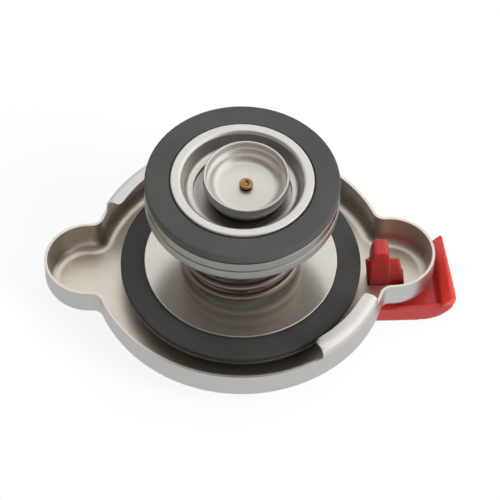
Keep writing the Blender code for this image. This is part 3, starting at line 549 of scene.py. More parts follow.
class Wardrobe:
    """Hands out each finish's material, made at its first use."""

    def __init__(self) -> None:
        """Starts with no material made."""
        self._made: dict[str, Material] = {}

    def dress(self, piece: Object, finish: str) -> None:
        """Gives a piece its material.

        Args:
            piece: the piece to dress.
            finish: the finish's key.
        """
        if finish not in self._made:
            self._made[finish] = FINISHES[finish].build()
        piece.data.materials.clear()
        piece.data.materials.append(self._made[finish])


WARDROBE = Wardrobe()


def to_object(bm: BMesh, name: str, even: bool = True) -> Object:
    """Turns a mesh in millimetres into a smooth object in metres.

    Args:
        bm: the mesh, which is freed.
        name: the object's name.
        even: whether flat faces keep their own shading beside rounded edges.

    Returns:
        The new object, at the origin.
    """
    bmesh.ops.scale(bm, vec=(MM, MM, MM), verts=bm.verts)
    mesh = bpy.data.meshes.new(name)
    bm.to_mesh(mesh)
    bm.free()
    piece = new_object(name, mesh)
    smooth(piece, even)
    return piece


def smooth(piece: Object, even: bool = True) -> None:
    """Shades a piece smooth, with its sharp edges kept.

    Args:
        piece: the piece to shade.
        even: whether flat faces keep their own shading beside rounded edges.
    """
    piece.data.shade_smooth()
    piece.data.set_sharp_from_angle(angle=SMOOTH_ANGLE)
    if even:
        assign(piece.modifiers.new("even_shading", "WEIGHTED_NORMAL"), keep_sharp=True)


def settle(piece: Object) -> None:
    """Applies a piece's modifiers to its mesh.

    Args:
        piece: the piece, which is left without modifiers.
    """
    depsgraph = bpy.context.evaluated_depsgraph_get()
    mesh = bpy.data.meshes.new_from_object(piece.evaluated_get(depsgraph))
    mesh.name = piece.name
    piece.modifiers.clear()
    piece.data = mesh


def quarter_arc(radius: float, steps: int) -> list[tuple[float, float]]:
    """Rounds a corner between two square edges.

    Args:
        radius: the rounding's radius.
        steps: faces in it.

    Returns:
        How far each point lies from the first and from the second edge.
    """
    turns = [QUARTER_TURN * step / steps for step in range(steps + 1)]
    return [(radius * (1.0 - math.cos(turn)), radius * (1.0 - math.sin(turn))) for turn in turns]


def lifted(height: float) -> Matrix:
    """Gives the matrix that lifts by a height."""
    return Matrix.Translation((0.0, 0.0, height))


def rectangle(low: tuple[float, float], high: tuple[float, float], rounding: float = 0.0) -> list[Corner]:
    """Lists a rectangle's corners from its low and its high one."""
    (x0, y0), (x1, y1) = low, high
    return [(x0, y0, rounding), (x1, y0, rounding), (x1, y1, rounding), (x0, y1, rounding)]


def outline_face(corners: Sequence[Corner], plane: Matrix, segments: int = 4) -> BMesh:
    """Draws a flat closed outline with rounded corners.

    Args:
        corners: first and second coordinate of each corner, and its rounding.
        plane: takes (first, second, 0) to the outline's place.
        segments: faces in each rounding.

    Returns:
        A mesh that holds the outline as one face.
    """
    bm = bmesh.new()
    points = [bm.verts.new((first, second, 0.0)) for first, second, _ in corners]
    bm.faces.new(points)
    for point, (_, _, rounding) in zip(points, corners):
        if rounding > 0.0:
            bmesh.ops.bevel(bm, geom=[point], offset=rounding, offset_type="OFFSET", segments=segments,
                            profile=0.5, affect="VERTICES", material=-1, clamp_overlap=True)
    bmesh.ops.transform(bm, matrix=plane, verts=bm.verts)
    return bm


def weld(bm: BMesh, offset: tuple[float, float]) -> None:
    """Joins a swept mesh into one skin and moves it to its axis.

    Args:
        bm: the mesh.
        offset: how far its axis lies from the cap's own, in X and Y.
    """
    bmesh.ops.remove_doubles(bm, verts=bm.verts, dist=MERGE)
    bmesh.ops.recalc_face_normals(bm, faces=bm.faces)
    bmesh.ops.translate(bm, vec=(*offset, 0.0), verts=bm.verts)


def turned(name: str, corners: Sequence[Corner], steps: int = FINE_STEPS, segments: int = 4,
           offset: tuple[float, float] = (0.0, 0.0)) -> Object:
    """Turns a closed outline about Z.

    Args:
        name: the piece's name.
        corners: radius, height and rounding of each corner.
        steps: steps in the full turn.
        segments: faces in each rounding.
        offset: how far the axis lies from the cap's own, in X and Y.

    Returns:
        The turned piece.
    """
    bm = outline_face(corners, UPRIGHT, segments)
    bmesh.ops.delete(bm, geom=bm.faces[:], context="FACES_ONLY")
    on_axis = [e for e in bm.edges if all(abs(v.co.x) < MERGE for v in e.verts)]
    bmesh.ops.delete(bm, geom=on_axis, context="EDGES")
    bmesh.ops.spin(bm, geom=bm.verts[:] + bm.edges[:], cent=ORIGIN, axis=UP, angle=FULL_TURN, steps=steps,
                   use_merge=True)
    weld(bm, offset)
    return to_object(bm, name)


def slab(name: str, corners: Sequence[Corner], depth: float, plane: Matrix, segments: int = 6) -> Object:
    """Gives a flat outline an even depth, half to each side of its plane.

    Args:
        name: the piece's name.
        corners: first and second coordinate of each corner, and its rounding.
        depth: how deep it is.
        plane: takes (first, second, 0) to the outline's place; its third axis is the depth.
        segments: faces in each rounding.

    Returns:
        The solid.
    """
    bm = outline_face(corners, lifted(-depth / 2.0), segments)
    grown = bmesh.ops.extrude_face_region(bm, geom=bm.faces[:])["geom"]
    raised = [g for g in grown if isinstance(g, BMVert)]
    bmesh.ops.translate(bm, vec=(0.0, 0.0, depth), verts=raised)
    bmesh.ops.transform(bm, matrix=plane, verts=bm.verts)
    bmesh.ops.recalc_face_normals(bm, faces=bm.faces)
    return to_object(bm, name, even=False)


def cylinder(name: str, radius: float, low: float, high: float) -> Object:
    """Makes a plain cylinder on the cap's axis.

    Args:
        name: the piece's name.
        radius: its radius.
        low: its lower end.
        high: its upper end.

    Returns:
        The cylinder.
    """
    bm = bmesh.new()
    bmesh.ops.create_cone(bm, cap_ends=True, segments=SMALL_STEPS, radius1=radius, radius2=radius,
                          depth=high - low, matrix=lifted((low + high) / 2.0))
    return to_object(bm, name, even=False)


def combine(piece: Object, operation: str, *others: Object) -> None:
    """Adds, cuts or meets other solids, which are then removed.

    Args:
        piece: the piece that is changed.
        operation: UNION, DIFFERENCE or INTERSECT.
        others: the solids to work with.
    """
    for other in others:
        change = piece.modifiers.new(other.name, "BOOLEAN")
        assign(change, object=other, operation=operation, solver="EXACT")
        settle(piece)
        bpy.data.objects.remove(other, do_unlink=True)


@dataclass
class Coil:
    """A coil of round wire whose end turns lie closed, with the number of turns and of closed ones."""

    wire: float
    radius: float
    low: float
    high: float
    turns: float
    closed: float = 0.8
    steps: int = 96
    sides: int = 20
    closed_pitch: float = 1.06
    end_share: float = 0.3

    def build(self, name: str, offset: tuple[float, float] = (0.0, 0.0)) -> Object:
        """Winds the coil.

        Args:
            name: the piece's name.
            offset: how far the axis lies from the cap's own, in X and Y.

        Returns:
            The coil.
        """
        bm = bmesh.new()
        half = self.wire / 2.0
        start = Matrix.Translation((self.radius, 0.0, self.low + half)) @ UPRIGHT
        circle = bmesh.ops.create_circle(bm, cap_ends=True, segments=self.sides, radius=half, matrix=start)
        last = bm.edges[:] + circle["verts"]
        rise = self.high - self.low - self.wire
        end_rise = min(self.closed * self.wire * self.closed_pitch, rise * self.end_share)
        end = (self.closed, end_rise)
        for share, climb in (end, (self.turns - 2.0 * self.closed, rise - 2.0 * end_rise), end):
            count = max(1, round(share * self.steps))
            wound = bmesh.ops.spin(bm, geom=last, cent=ORIGIN, axis=UP, angle=share * FULL_TURN, steps=count,
                                   dvec=(0.0, 0.0, climb / count))
            last = wound["geom_last"]
        bmesh.ops.contextual_create(bm, geom=[e for e in last if isinstance(e, BMEdge)])
        weld(bm, offset)
        return to_object(bm, name, even=False)


def place(piece: Object, body: Body, finish: str, *nodes: str) -> None:
    """Dresses a finished piece and lets it ride on its body in place of its nodes.

    Args:
        piece: the finished piece.
        body: the body that it rides on.
        finish: the finish's key.
        nodes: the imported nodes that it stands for.
    """
    WARDROBE.dress(piece, finish)
    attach(piece, body.value)
    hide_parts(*nodes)
    LOG.info("%s: %d faces, %s, on %s", piece.name, len(piece.data.polygons), finish, body.value)


def dress_packed(node: str, finish: str) -> None:
    """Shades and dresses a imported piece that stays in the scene.

    Args:
        node: the piece's node.
        finish: the finish's key.
    """
    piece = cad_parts[node]
    smooth(piece, even=False)
    WARDROBE.dress(piece, finish)
    LOG.info("%s: kept as it is packed, %s", node, finish)


@dataclass
class Cover:
    """Pressed cover with two ears, two cam tabs, a centre boss and the hook's slot."""

    radius: float = 29.9
    sheet: float = 0.55
    depth: float = 7.5
    draft: float = 0.2
    fillet: float = 3.0
    floor: float = 4.25
    ear_offset: float = 30.4
    ear_radius: float = 9.0
    ear_blend: float = 2.0
    ear_rise: float = 0.35
    ear_stretch: float = 0.25
    ear_start: float = 22.0
    tab_start: float = math.radians(26.0)
    tab_end: float = math.radians(59.5)
    tab_rise: float = 2.65
    tab_reach: float = 3.15
    tab_bend: float = 1.6
    tab_corner: float = 0.8
    boss_radius: float = 6.2
    boss_rise: float = 0.9
    bore: float = 4.5
    slot_low: tuple[float, float] = (25.8, -2.9)
    slot_high: tuple[float, float] = (33.35, 1.25)
    slot_corner: float = 0.3
    edge: float = 0.12
    edge_angle: float = math.radians(50.0)

    @property
    def rim(self) -> float:
        """Height of the rim."""
        return self.floor + self.depth

    def _quarter(self, bm: BMesh) -> None:
        """Sweeps one quarter of the outline from the ear's tip to the middle of the round side.

        Args:
            bm: the mesh to draw in.
        """
        far = self.radius + self.ear_blend
        near = self.ear_radius + self.ear_blend
        blend_x = (far ** 2 + self.ear_offset ** 2 - near ** 2) / (2.0 * self.ear_offset)
        blend_y = math.sqrt(far ** 2 - blend_x ** 2)
        to_round = math.atan2(blend_y, blend_x)
        to_ear = math.atan2(blend_y, blend_x - self.ear_offset)
        ear = (self.ear_offset, 0.0, self.floor)
        middle = (0.0, 0.0, self.floor)
        sweeps = [
            (ear, to_ear, 26),
            ((blend_x, blend_y, self.floor), to_round - to_ear, 7),
            (middle, self.tab_start - to_round, 2),
            (middle, self.tab_end - self.tab_start, 16),
            (middle, QUARTER_TURN - self.tab_end, 14),
        ]
        last = [bm.verts.new((self.ear_offset + self.ear_radius, 0.0, self.floor))]
        for centre, angle, steps in sweeps:
            swept = bmesh.ops.spin(bm, geom=last, cent=centre, axis=UP, angle=angle, steps=steps)
            last = [v for v in swept["geom_last"] if isinstance(v, BMVert)]

    def _grow_tab(self, bm: BMesh, side: int) -> None:
        """Raises the rim into one cam tab and turns it inwards.

        Args:
            bm: the shell's open surface.
            side: 1 for the tab at the front right, -1 for the one at the back left.
        """
        slack = math.radians(0.1)

        def turn_of(vertex: BMVert) -> float:
            """Angle of a vertex round the axis, seen from this tab's side."""
            return math.atan2(side * vertex.co.y, side * vertex.co.x)

        def on_tab(vertex: BMVert) -> bool:
            """Whether a vertex lies on the rim within the tab."""
            within = -self.tab_end - slack < turn_of(vertex) < -self.tab_start + slack
            return within and abs(vertex.co.z - self.rim) < MERGE

        edges = [e for e in bm.edges if on_tab(e.verts[0]) and on_tab(e.verts[1])]
        middle = -(self.tab_start + self.tab_end) / 2.0
        half_span = (self.tab_end - self.tab_start) / 2.0
        bend = [(back, self.tab_rise - drop, 0.0) for back, drop in quarter_arc(self.tab_bend, 6)]
        corner = quarter_arc(self.tab_corner, 5)
        edge = [(self.tab_reach - back, self.tab_rise, cut) for cut, back in corner]
        for inward, rise, cut in bend + edge:
            grown = bmesh.ops.extrude_edge_only(bm, edges=edges)["geom"]
            edges = [g for g in grown if isinstance(g, BMEdge)]
            radius = self.radius - inward
            squeeze = 1.0 - cut / (radius * half_span)
            for vertex in {v for e in edges for v in e.verts}:
                angle = middle + (turn_of(vertex) - middle) * squeeze
                across, along = radius * math.cos(angle), radius * math.sin(angle)
                vertex.co = (side * across, side * along, self.rim + rise)

    def _shift_ears(self, bm: BMesh) -> None:
        """Sets the ears a little behind the middle, and the left one a little further out.

        Args:
            bm: the shell's open surface.
        """
        reach = self.ear_offset - self.ear_start
        for vertex in bm.verts:
            share = min(max((abs(vertex.co.x) - self.ear_start) / reach, 0.0), 1.0)
            vertex.co.y += share * self.ear_rise
            if vertex.co.x < 0.0:
                vertex.co.x -= share * self.ear_stretch

    def _surface(self) -> BMesh:
        """Makes the shell's outer surface, open at the rim.

        Returns:
            The surface, with its faces pointing out of the cap.
        """
        bm = bmesh.new()
        self._quarter(bm)
        for axis in ("X", "Y"):
            bmesh.ops.mirror(bm, geom=bm.verts[:] + bm.edges[:], axis=axis, merge_dist=MERGE)
        bmesh.ops.remove_doubles(bm, verts=bm.verts, dist=MERGE)
        outline = bm.edges[:]
        bmesh.ops.contextual_create(bm, geom=outline)
        wall = bmesh.ops.extrude_edge_only(bm, edges=outline)["geom"]
        top = [v for v in wall if isinstance(v, BMVert)]
        bmesh.ops.translate(bm, vec=(0.0, 0.0, self.depth), verts=top)
        for side in (1, -1):
            self._grow_tab(bm, side)
        self._shift_ears(bm)
        raised = [v for v in bm.verts if v.co.z > self.rim - MERGE]
        bmesh.ops.scale(bm, vec=(1.0, 1.0 - self.draft / self.radius, 1.0), verts=raised)
        low = [e for e in bm.edges if all(abs(v.co.z - self.floor) < MERGE for v in e.verts)]
        bmesh.ops.bevel(bm, geom=low, offset=self.fillet, offset_type="OFFSET", segments=10, profile=0.5,
                        affect="EDGES", material=-1)
        bmesh.ops.recalc_face_normals(bm, faces=bm.faces)
        base = min(bm.faces, key=lambda f: f.calc_center_median().z)
        if base.normal.z > 0.0:
            bmesh.ops.reverse_faces(bm, faces=bm.faces)
        return bm

    def build(self) -> None:
        """Makes the cover: the sheet's thickness and edges, then the boss, its bore and the slot."""
        cover = to_object(self._surface(), "cover_pressing", even=False)
        assign(cover.modifiers.new("sheet", "SOLIDIFY"), thickness=self.sheet * MM, offset=-1.0,
               use_even_offset=True)
        assign(cover.modifiers.new("edges", "BEVEL"), width=self.edge * MM, segments=3,
               limit_method="ANGLE", angle_limit=self.edge_angle)
        settle(cover)
        middle = self.floor + self.sheet / 2.0
        boss_top = self.floor + self.sheet + self.boss_rise
        boss = cylinder("boss", self.boss_radius, middle, boss_top)
        hollow_top = self.floor + self.boss_rise
        hollow = cylinder("hollow", self.boss_radius - self.sheet, self.floor - MARGIN, hollow_top)
        bore = cylinder("bore", self.bore, self.floor - MARGIN, boss_top + MARGIN)
        opening = rectangle(self.slot_low, self.slot_high, self.slot_corner)
        slot = slab("slot", opening, MARGIN, lifted(middle))
        combine(cover, "UNION", boss)
        combine(cover, "DIFFERENCE", hollow, bore, slot)
        smooth(cover)
        place(cover, Body.COVER, "cover", "cover_shell")


@dataclass
class SwivelStack:
    """Diaphragm, neck gasket and retainer disc on the centre eyelet, with the rod's rubber ring in it."""

    hole: float = 4.5
    diaphragm_low: float = 6.0
    diaphragm_sheet: float = 0.4
    diaphragm_rim: float = 8.8
    hub: float = 9.0
    cone: float = 17.0
    outer: float = 24.1
    gasket_radius: float = 24.3
    gasket_bore: float = 12.5
    gasket_low: float = 9.1
    gasket_top: float = 10.4
    disc_radius: float = 19.5
    disc_sheet: float = 0.5
    disc_top: float = 11.2
    disc_low: float = 6.7
    well: float = 9.4

    def build(self) -> None:
        """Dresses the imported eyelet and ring, and makes the three other pieces."""
        dress_packed("centre_eyelet", "pressed")
        dress_packed("rod_seal", "rubber")
        top = self.diaphragm_low + self.diaphragm_sheet
        low = self.diaphragm_rim - self.diaphragm_sheet
        diaphragm = turned("sprung_diaphragm", [
            (self.hole, top, 0.0), (self.hub, top, 1.2), (self.cone, self.diaphragm_rim, 1.2),
            (self.outer, self.diaphragm_rim, 0.15), (self.outer, low, 0.15), (self.cone, low, 1.2),
            (self.hub, self.diaphragm_low, 1.2), (self.hole, self.diaphragm_low, 0.0)])
        place(diaphragm, Body.SWIVEL, "seat", "diaphragm_disc")
        gasket = turned("gasket_ring", [
            (self.gasket_bore, self.gasket_top, 0.1), (self.gasket_radius, self.gasket_top, 0.4),
            (self.gasket_radius, self.gasket_low, 0.3), (self.gasket_bore, self.gasket_low, 0.1)])
        place(gasket, Body.SWIVEL, "gasket", "neck_gasket")
        sheet = self.disc_sheet
        under = self.disc_top - sheet
        floor = self.disc_low + sheet
        disc = turned("brushed_retainer", [
            (self.hole, floor, 0.0), (self.well - sheet, floor, 0.9), (self.well, self.disc_top, 0.7),
            (self.disc_radius, self.disc_top, 0.18), (self.disc_radius, under, 0.12),
            (self.well + 0.6 * sheet, under, 0.3), (self.well - 0.4 * sheet, self.disc_low, 0.5),
            (self.hole, self.disc_low, 0.0)])
        settle(disc)
        place(disc, Body.SWIVEL, "disc", "retainer_disc")


@dataclass
class PullRod:
    """Rod, the washer under its head and the main spring."""

    radius: float = 1.3
    top: float = 22.7
    head: float = 1.0
    washer_radius: float = 3.6
    washer: float = 0.8
    wire: float = 1.7
    coil_outer: float = 12.4
    pitch: float = 3.45
    closed: float = 0.8
    coil_low: float = 11.5
    coil_high: float = 30.3
    relief: float = 3.0

    def build(self) -> None:
        """Makes the washer and the spring, and dresses the rod."""
        head_low = self.top - self.head
        washer_top = head_low - SEAT_GAP
        bore = self.radius + SEAT_GAP
        washer = turned("lift_washer_turned", [
            (bore, washer_top, 0.0), (self.washer_radius, washer_top, 0.12),
            (self.washer_radius, washer_top - self.washer, 0.12), (bore, washer_top - self.washer, 0.0)],
            steps=SMALL_STEPS)
        place(washer, Body.ROD, "pressed", "lift_washer")
        dress_packed("pull_rod", "pressed")
        height = self.coil_high - self.coil_low - self.wire
        turns = 2.0 * self.closed + (height - 2.0 * self.closed * self.wire) / self.pitch
        spring = Coil(self.wire, self.coil_outer - self.wire / 2.0, self.coil_low, self.coil_high, turns,
                      self.closed).build("wound_main_spring")
        place(spring, Body.ROD, "wire", "main_spring")
        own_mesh(spring)


@dataclass
class Lever:
    """Moulded safety lever: forked cam hub, plate with side rims, curled lip and hook."""

    thickness: float = 3.7
    width: float = 16.8
    hub_width: float = 14.0
    hub_end: float = 12.0
    arm_start: float = 21.0
    reach: float = 43.4
    lip_radius: float = 7.1
    lip_wall: float = 1.8
    lip_edge: float = 1.0
    lip_foot: float = 3.5
    lip_skew: float = 1.6
    lip_turn: float = 0.7
    flare: float = 4.8
    rim_wall: float = 0.8
    rim_rise: float = 0.8
    rim_start: float = 30.5
    rim_ramp: float = 3.0
    web: float = 0.6
    lift: float = 3.2
    swing: float = math.radians(90.0)
    pin_height: float = 2.2
    eye: float = 3.6
    eye_radius: float = 1.3
    hook_inner: float = 26.1
    hook_width: float = 6.7
    hook_foot: float = 0.75
    hook_depth: float = 3.75
    hook_centre: float = -0.88
    hook_lean: float = 1.1
    hook_facet: float = 0.8
    hook_inset: float = 0.2
    shoulder: float = 12.4
    shoulder_drop: float = 3.6
    shoulder_land: float = 0.8
    prong_top: float = 15.35
    prong_foot: float = 3.9
    prong_tip: float = 2.8
    grain: float = 0.21

    def _cam(self) -> list[Corner]:
        """Works out the cam, whose support grows evenly with the lever's turn.

        Returns:
            The cam's corners from the lever's top face round to its tail.
        """
        start = self.thickness - self.pin_height
        rate = self.lift / self.swing
        corners = []
        for step in range(17):
            turn = self.swing * step / 16
            reach = start + rate * turn
            across = -reach * math.sin(turn) - rate * math.cos(turn)
            up = reach * math.cos(turn) - rate * math.sin(turn)
            corners.append((across, self.pin_height + up, 0.0))
        return corners

    def _profile(self) -> list[Corner]:
        """Draws the side view: cam and tail, flat plate and the lip curled up outside the ear.

        Returns:
            The outline's corners in X and Z.
        """
        cam = self._cam()
        curl = [(self.reach - back, up, 0.0) for up, back in quarter_arc(self.lip_radius, 24)]
        lip = [(self.reach - self.lip_edge, self.lip_radius, 0.0),
               (self.reach - self.lip_foot, self.thickness, 0.0)]
        return [(cam[-1][0], 0.0, 0.0), *curl, *lip, *cam]

    def _hook(self) -> Object:
        """Makes the hook: a block with sloping shoulders and facets, and the narrower prong.

        Returns:
            The hook's solid.
        """
        foot = self.thickness - self.web
        outer = self.hook_inner + self.hook_width
        back = self.hook_centre + self.hook_depth / 2.0
        front = self.hook_centre - self.hook_depth / 2.0
        wide, tip = self.prong_foot / 2.0, self.prong_tip / 2.0
        middle = self.hook_inner + self.hook_width / 2.0 - self.hook_lean - (wide - tip) / 2.0
        centre = middle + self.hook_lean / 2.0
        plan = [
            (self.hook_inner, back - self.hook_inset, 0.0), (self.hook_inner, front + self.hook_facet, 0.0),
            (centre - tip, front + self.hook_inset, 0.0), (centre + tip, front + self.hook_inset, 0.0),
            (outer, front + self.hook_facet, 0.0), (outer, back - self.hook_inset, 0.0)]
        height = self.shoulder - foot
        lean = Matrix.Shear("XY", 4, (-self.hook_lean / height, 0.0))
        block = slab("hook_block", plan, height, lifted(foot) @ lean @ lifted(height / 2.0))
        for vertex in block.data.vertices:
            if vertex.co.z < (foot + MERGE) * MM and vertex.co.x > (outer - self.hook_inset) * MM:
                vertex.co.x += self.hook_foot * MM
        land, drop = front + self.shoulder_land, self.shoulder - self.shoulder_drop
        slope = [(land, self.shoulder + 1.0, 0.0), (land, self.shoulder, 0.0), (back, drop, 0.0),
                 (back + 1.0, drop, 0.0), (back + 1.0, self.shoulder + 1.0, 0.0)]
        sideways = Matrix.Translation((middle, 0.0, 0.0)) @ Matrix.Rotation(QUARTER_TURN, 4, "Z")
        away = slab("slope", slope, 3.0 * self.hook_width, sideways @ UPRIGHT)
        combine(block, "DIFFERENCE", away)
        prong = [(middle - wide, foot - SEAT_GAP, 0.0), (middle + wide, foot - SEAT_GAP, 0.0),
                 (middle + wide, self.shoulder, 1.5), (middle + tip, self.prong_top, 0.7),
                 (middle - tip, self.prong_top, 0.7), (middle - wide, self.shoulder, 1.5)]
        aside = Matrix.Translation((0.0, self.hook_centre, 0.0))
        combine(block, "UNION", slab("prong", prong, self.hook_depth, aside @ UPRIGHT))
        return block

    def build(self) -> None:
        """Makes the lever in one moulding and dresses its pin."""
        tail = self.thickness - self.pin_height + self.lift + SEAT_GAP
        lever = slab("moulded_lever", self._profile(), 2.0 * self.width, UPRIGHT)
        for vertex in lever.data.vertices:
            if vertex.co.x > self.arm_start * MM:
                vertex.co.x -= self.lip_turn * (vertex.co.y / self.width + 0.5 * MM)
        half, hub = self.width / 2.0, self.hub_width / 2.0
        plan = slab("plan", [
            (-tail, -hub, 0.0), (self.hub_end, -hub, self.flare), (self.arm_start, -half, self.flare),
            (self.reach + 0.1, -half, 0.5), (self.reach - self.lip_skew, half, 0.7),
            (self.arm_start, half, self.flare), (self.hub_end, hub, self.flare), (-tail, hub, 0.0)],
            4.0 * self.lip_radius, Matrix.Identity(4))
        combine(lever, "INTERSECT", plan)
        rim_top = self.thickness + self.rim_rise
        rim_end = self.reach - self.lip_radius + (self.lip_radius - self.lip_wall) * 0.7 + self.lip_wall
        rim_low = self.thickness - self.web
        for side in (1, -1):
            offset = side * (half - self.rim_wall / 2.0 - 0.1)
            rim = slab("side_rim", [
                (self.rim_start, rim_low, 0.0), (rim_end, rim_low, 0.0), (rim_end, rim_top, 0.0),
                (self.rim_start + self.rim_ramp, rim_top, 1.0), (self.rim_start, self.thickness, 0.0)],
                self.rim_wall, Matrix.Translation((0.0, offset, 0.0)) @ UPRIGHT)
            combine(lever, "UNION", rim)
        combine(lever, "UNION", self._hook())
        fork = self.eye / 2.0 + SEAT_GAP
        right = self.eye_radius + SEAT_GAP
        top = 2.0 * self.thickness
        gap = slab("fork", rectangle((-tail - MARGIN, -fork), (right, fork)), top - self.web,
                   lifted((top + self.web) / 2.0))
        combine(lever, "DIFFERENCE", gap)
        assign(lever.modifiers.new("moulding", "REMESH"), mode="VOXEL", voxel_size=self.grain * MM,
               use_smooth_shade=True)
        assign(lever.modifiers.new("even", "SMOOTH"), factor=0.5, iterations=6)
        settle(lever)
        low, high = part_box("safety_lever")
        for vertex in lever.data.vertices:
            vertex.co = [min(max(value, least), most) for value, least, most in zip(vertex.co, low, high)]
        lever.data.shade_smooth()
        place(lever, Body.LEVER, "plastic", "safety_lever")
        dress_packed("pivot_pin", "pressed")


@dataclass
class PressureValve:
    """Spring seat, plate, rubber seal and clamp ring, with the cage that the rod's head lifts."""

    seal_radius: float = 19.1
    seal_top: float = 36.3
    seal_low: float = 34.5
    rebate: float = 0.4
    clamp_radius: float = 14.05
    mouth: float = 12.0
    sheet: float = 0.45
    well: float = 3.4
    draft: float = 0.95
    ledge_bore: float = 9.65
    plate_radius: float = 19.05
    plate_sheet: float = 0.8
    plate_lip: float = 2.3
    stem_bore: float = 2.2
    seat_radius: float = 19.15
    seat_sheet: float = 0.8
    skirt: float = 2.4
    seam: float = 0.06
    pocket: float = 12.7
    cage_radius: float = 5.2
    cage_wall: float = 0.6
    cage_flange: float = 2.8
    cage_sheet: float = 0.7
    cage_low: float = 19.7
    rod_hole: float = 1.6

    def build(self) -> None:
        """Makes the five pieces."""
        clamp_low = self.seal_top - self.rebate + SEAT_GAP
        clamp_top = clamp_low + self.sheet
        ledge = clamp_top - self.well
        foot = self.mouth - self.draft
        clamp = turned("pale_clamp_ring", [
            (self.ledge_bore, ledge, 0.1), (foot, ledge, 0.7), (self.mouth, clamp_top, 0.7),
            (self.clamp_radius, clamp_top, 0.3), (self.clamp_radius, clamp_low, 0.08),
            (self.mouth + self.sheet, clamp_low, 0.35), (foot + self.sheet, ledge - self.sheet, 0.35),
            (self.ledge_bore, ledge - self.sheet, 0.1)], segments=6)
        place(clamp, Body.VALVE, "pale", "clamp_ring")
        bore = self.mouth + self.sheet + SEAT_GAP
        step = self.clamp_radius + SEAT_GAP
        seal = turned("seal_ring", [
            (bore, self.seal_top - self.rebate, 0.0), (step, self.seal_top - self.rebate, 0.0),
            (step, self.seal_top, 0.12), (self.seal_radius, self.seal_top, 0.5),
            (self.seal_radius, self.seal_low, 0.15), (bore, self.seal_low, 0.0)])
        place(seal, Body.VALVE, "rubber", "pressure_seal")

        top = self.seal_low - SEAT_GAP
        well_top = ledge - self.sheet - SEAT_GAP
        well_foot = foot + self.sheet + SEAT_GAP
        lip_low = top - self.plate_lip
        inner = self.plate_radius - self.plate_sheet
        plate = turned("stamped_plate", [
            (self.stem_bore, well_top, 0.1), (well_foot, well_top, 0.3), (bore, top, 0.3),
            (self.plate_radius, top, 0.35), (self.plate_radius, lip_low, 0.2), (inner, lip_low, 0.2),
            (inner, top - self.plate_sheet, 0.2), (bore + self.plate_sheet, top - self.plate_sheet, 0.3),
            (well_foot + 0.8 * self.plate_sheet, well_top - self.plate_sheet, 0.3),
            (self.stem_bore, well_top - self.plate_sheet, 0.1)])
        place(plate, Body.VALVE, "plate", "pressure_plate")

        skirt_top = lip_low - self.seam
        seat_low = skirt_top - self.skirt
        pocket_top = well_top - self.plate_sheet - SEAT_GAP
        hub = self.cage_radius + self.cage_flange
        floor = seat_low + self.seat_sheet
        inside = self.seat_radius - self.seat_sheet
        seat = turned("stamped_seat", [
            (hub + SEAT_GAP, pocket_top, 0.0), (self.pocket + self.seat_sheet, pocket_top, 0.3),
            (self.pocket + self.seat_sheet, floor, 0.3), (inside, floor, 0.3), (inside, skirt_top, 0.2),
            (self.seat_radius, skirt_top, 0.3), (self.seat_radius, seat_low, 0.5),
            (self.pocket, seat_low, 0.3), (self.pocket, pocket_top - self.seat_sheet, 0.2),
            (hub + SEAT_GAP, pocket_top - self.seat_sheet, 0.0)])
        place(seat, Body.VALVE, "seat", "spring_seat")

        flange_low = pocket_top - self.cage_sheet
        inner = self.cage_radius - self.cage_wall
        end_top = self.cage_low + self.cage_wall
        cage = turned("drawn_cage", [
            (inner, pocket_top, 0.3), (hub, pocket_top, 0.1), (hub, flange_low, 0.1),
            (self.cage_radius, flange_low, 0.4), (self.cage_radius, self.cage_low, 0.5),
            (self.rod_hole, self.cage_low, 0.0), (self.rod_hole, end_top, 0.0), (inner, end_top, 0.3)],
            steps=SMALL_STEPS)
        place(cage, Body.VALVE, "pressed", "valve_cage")


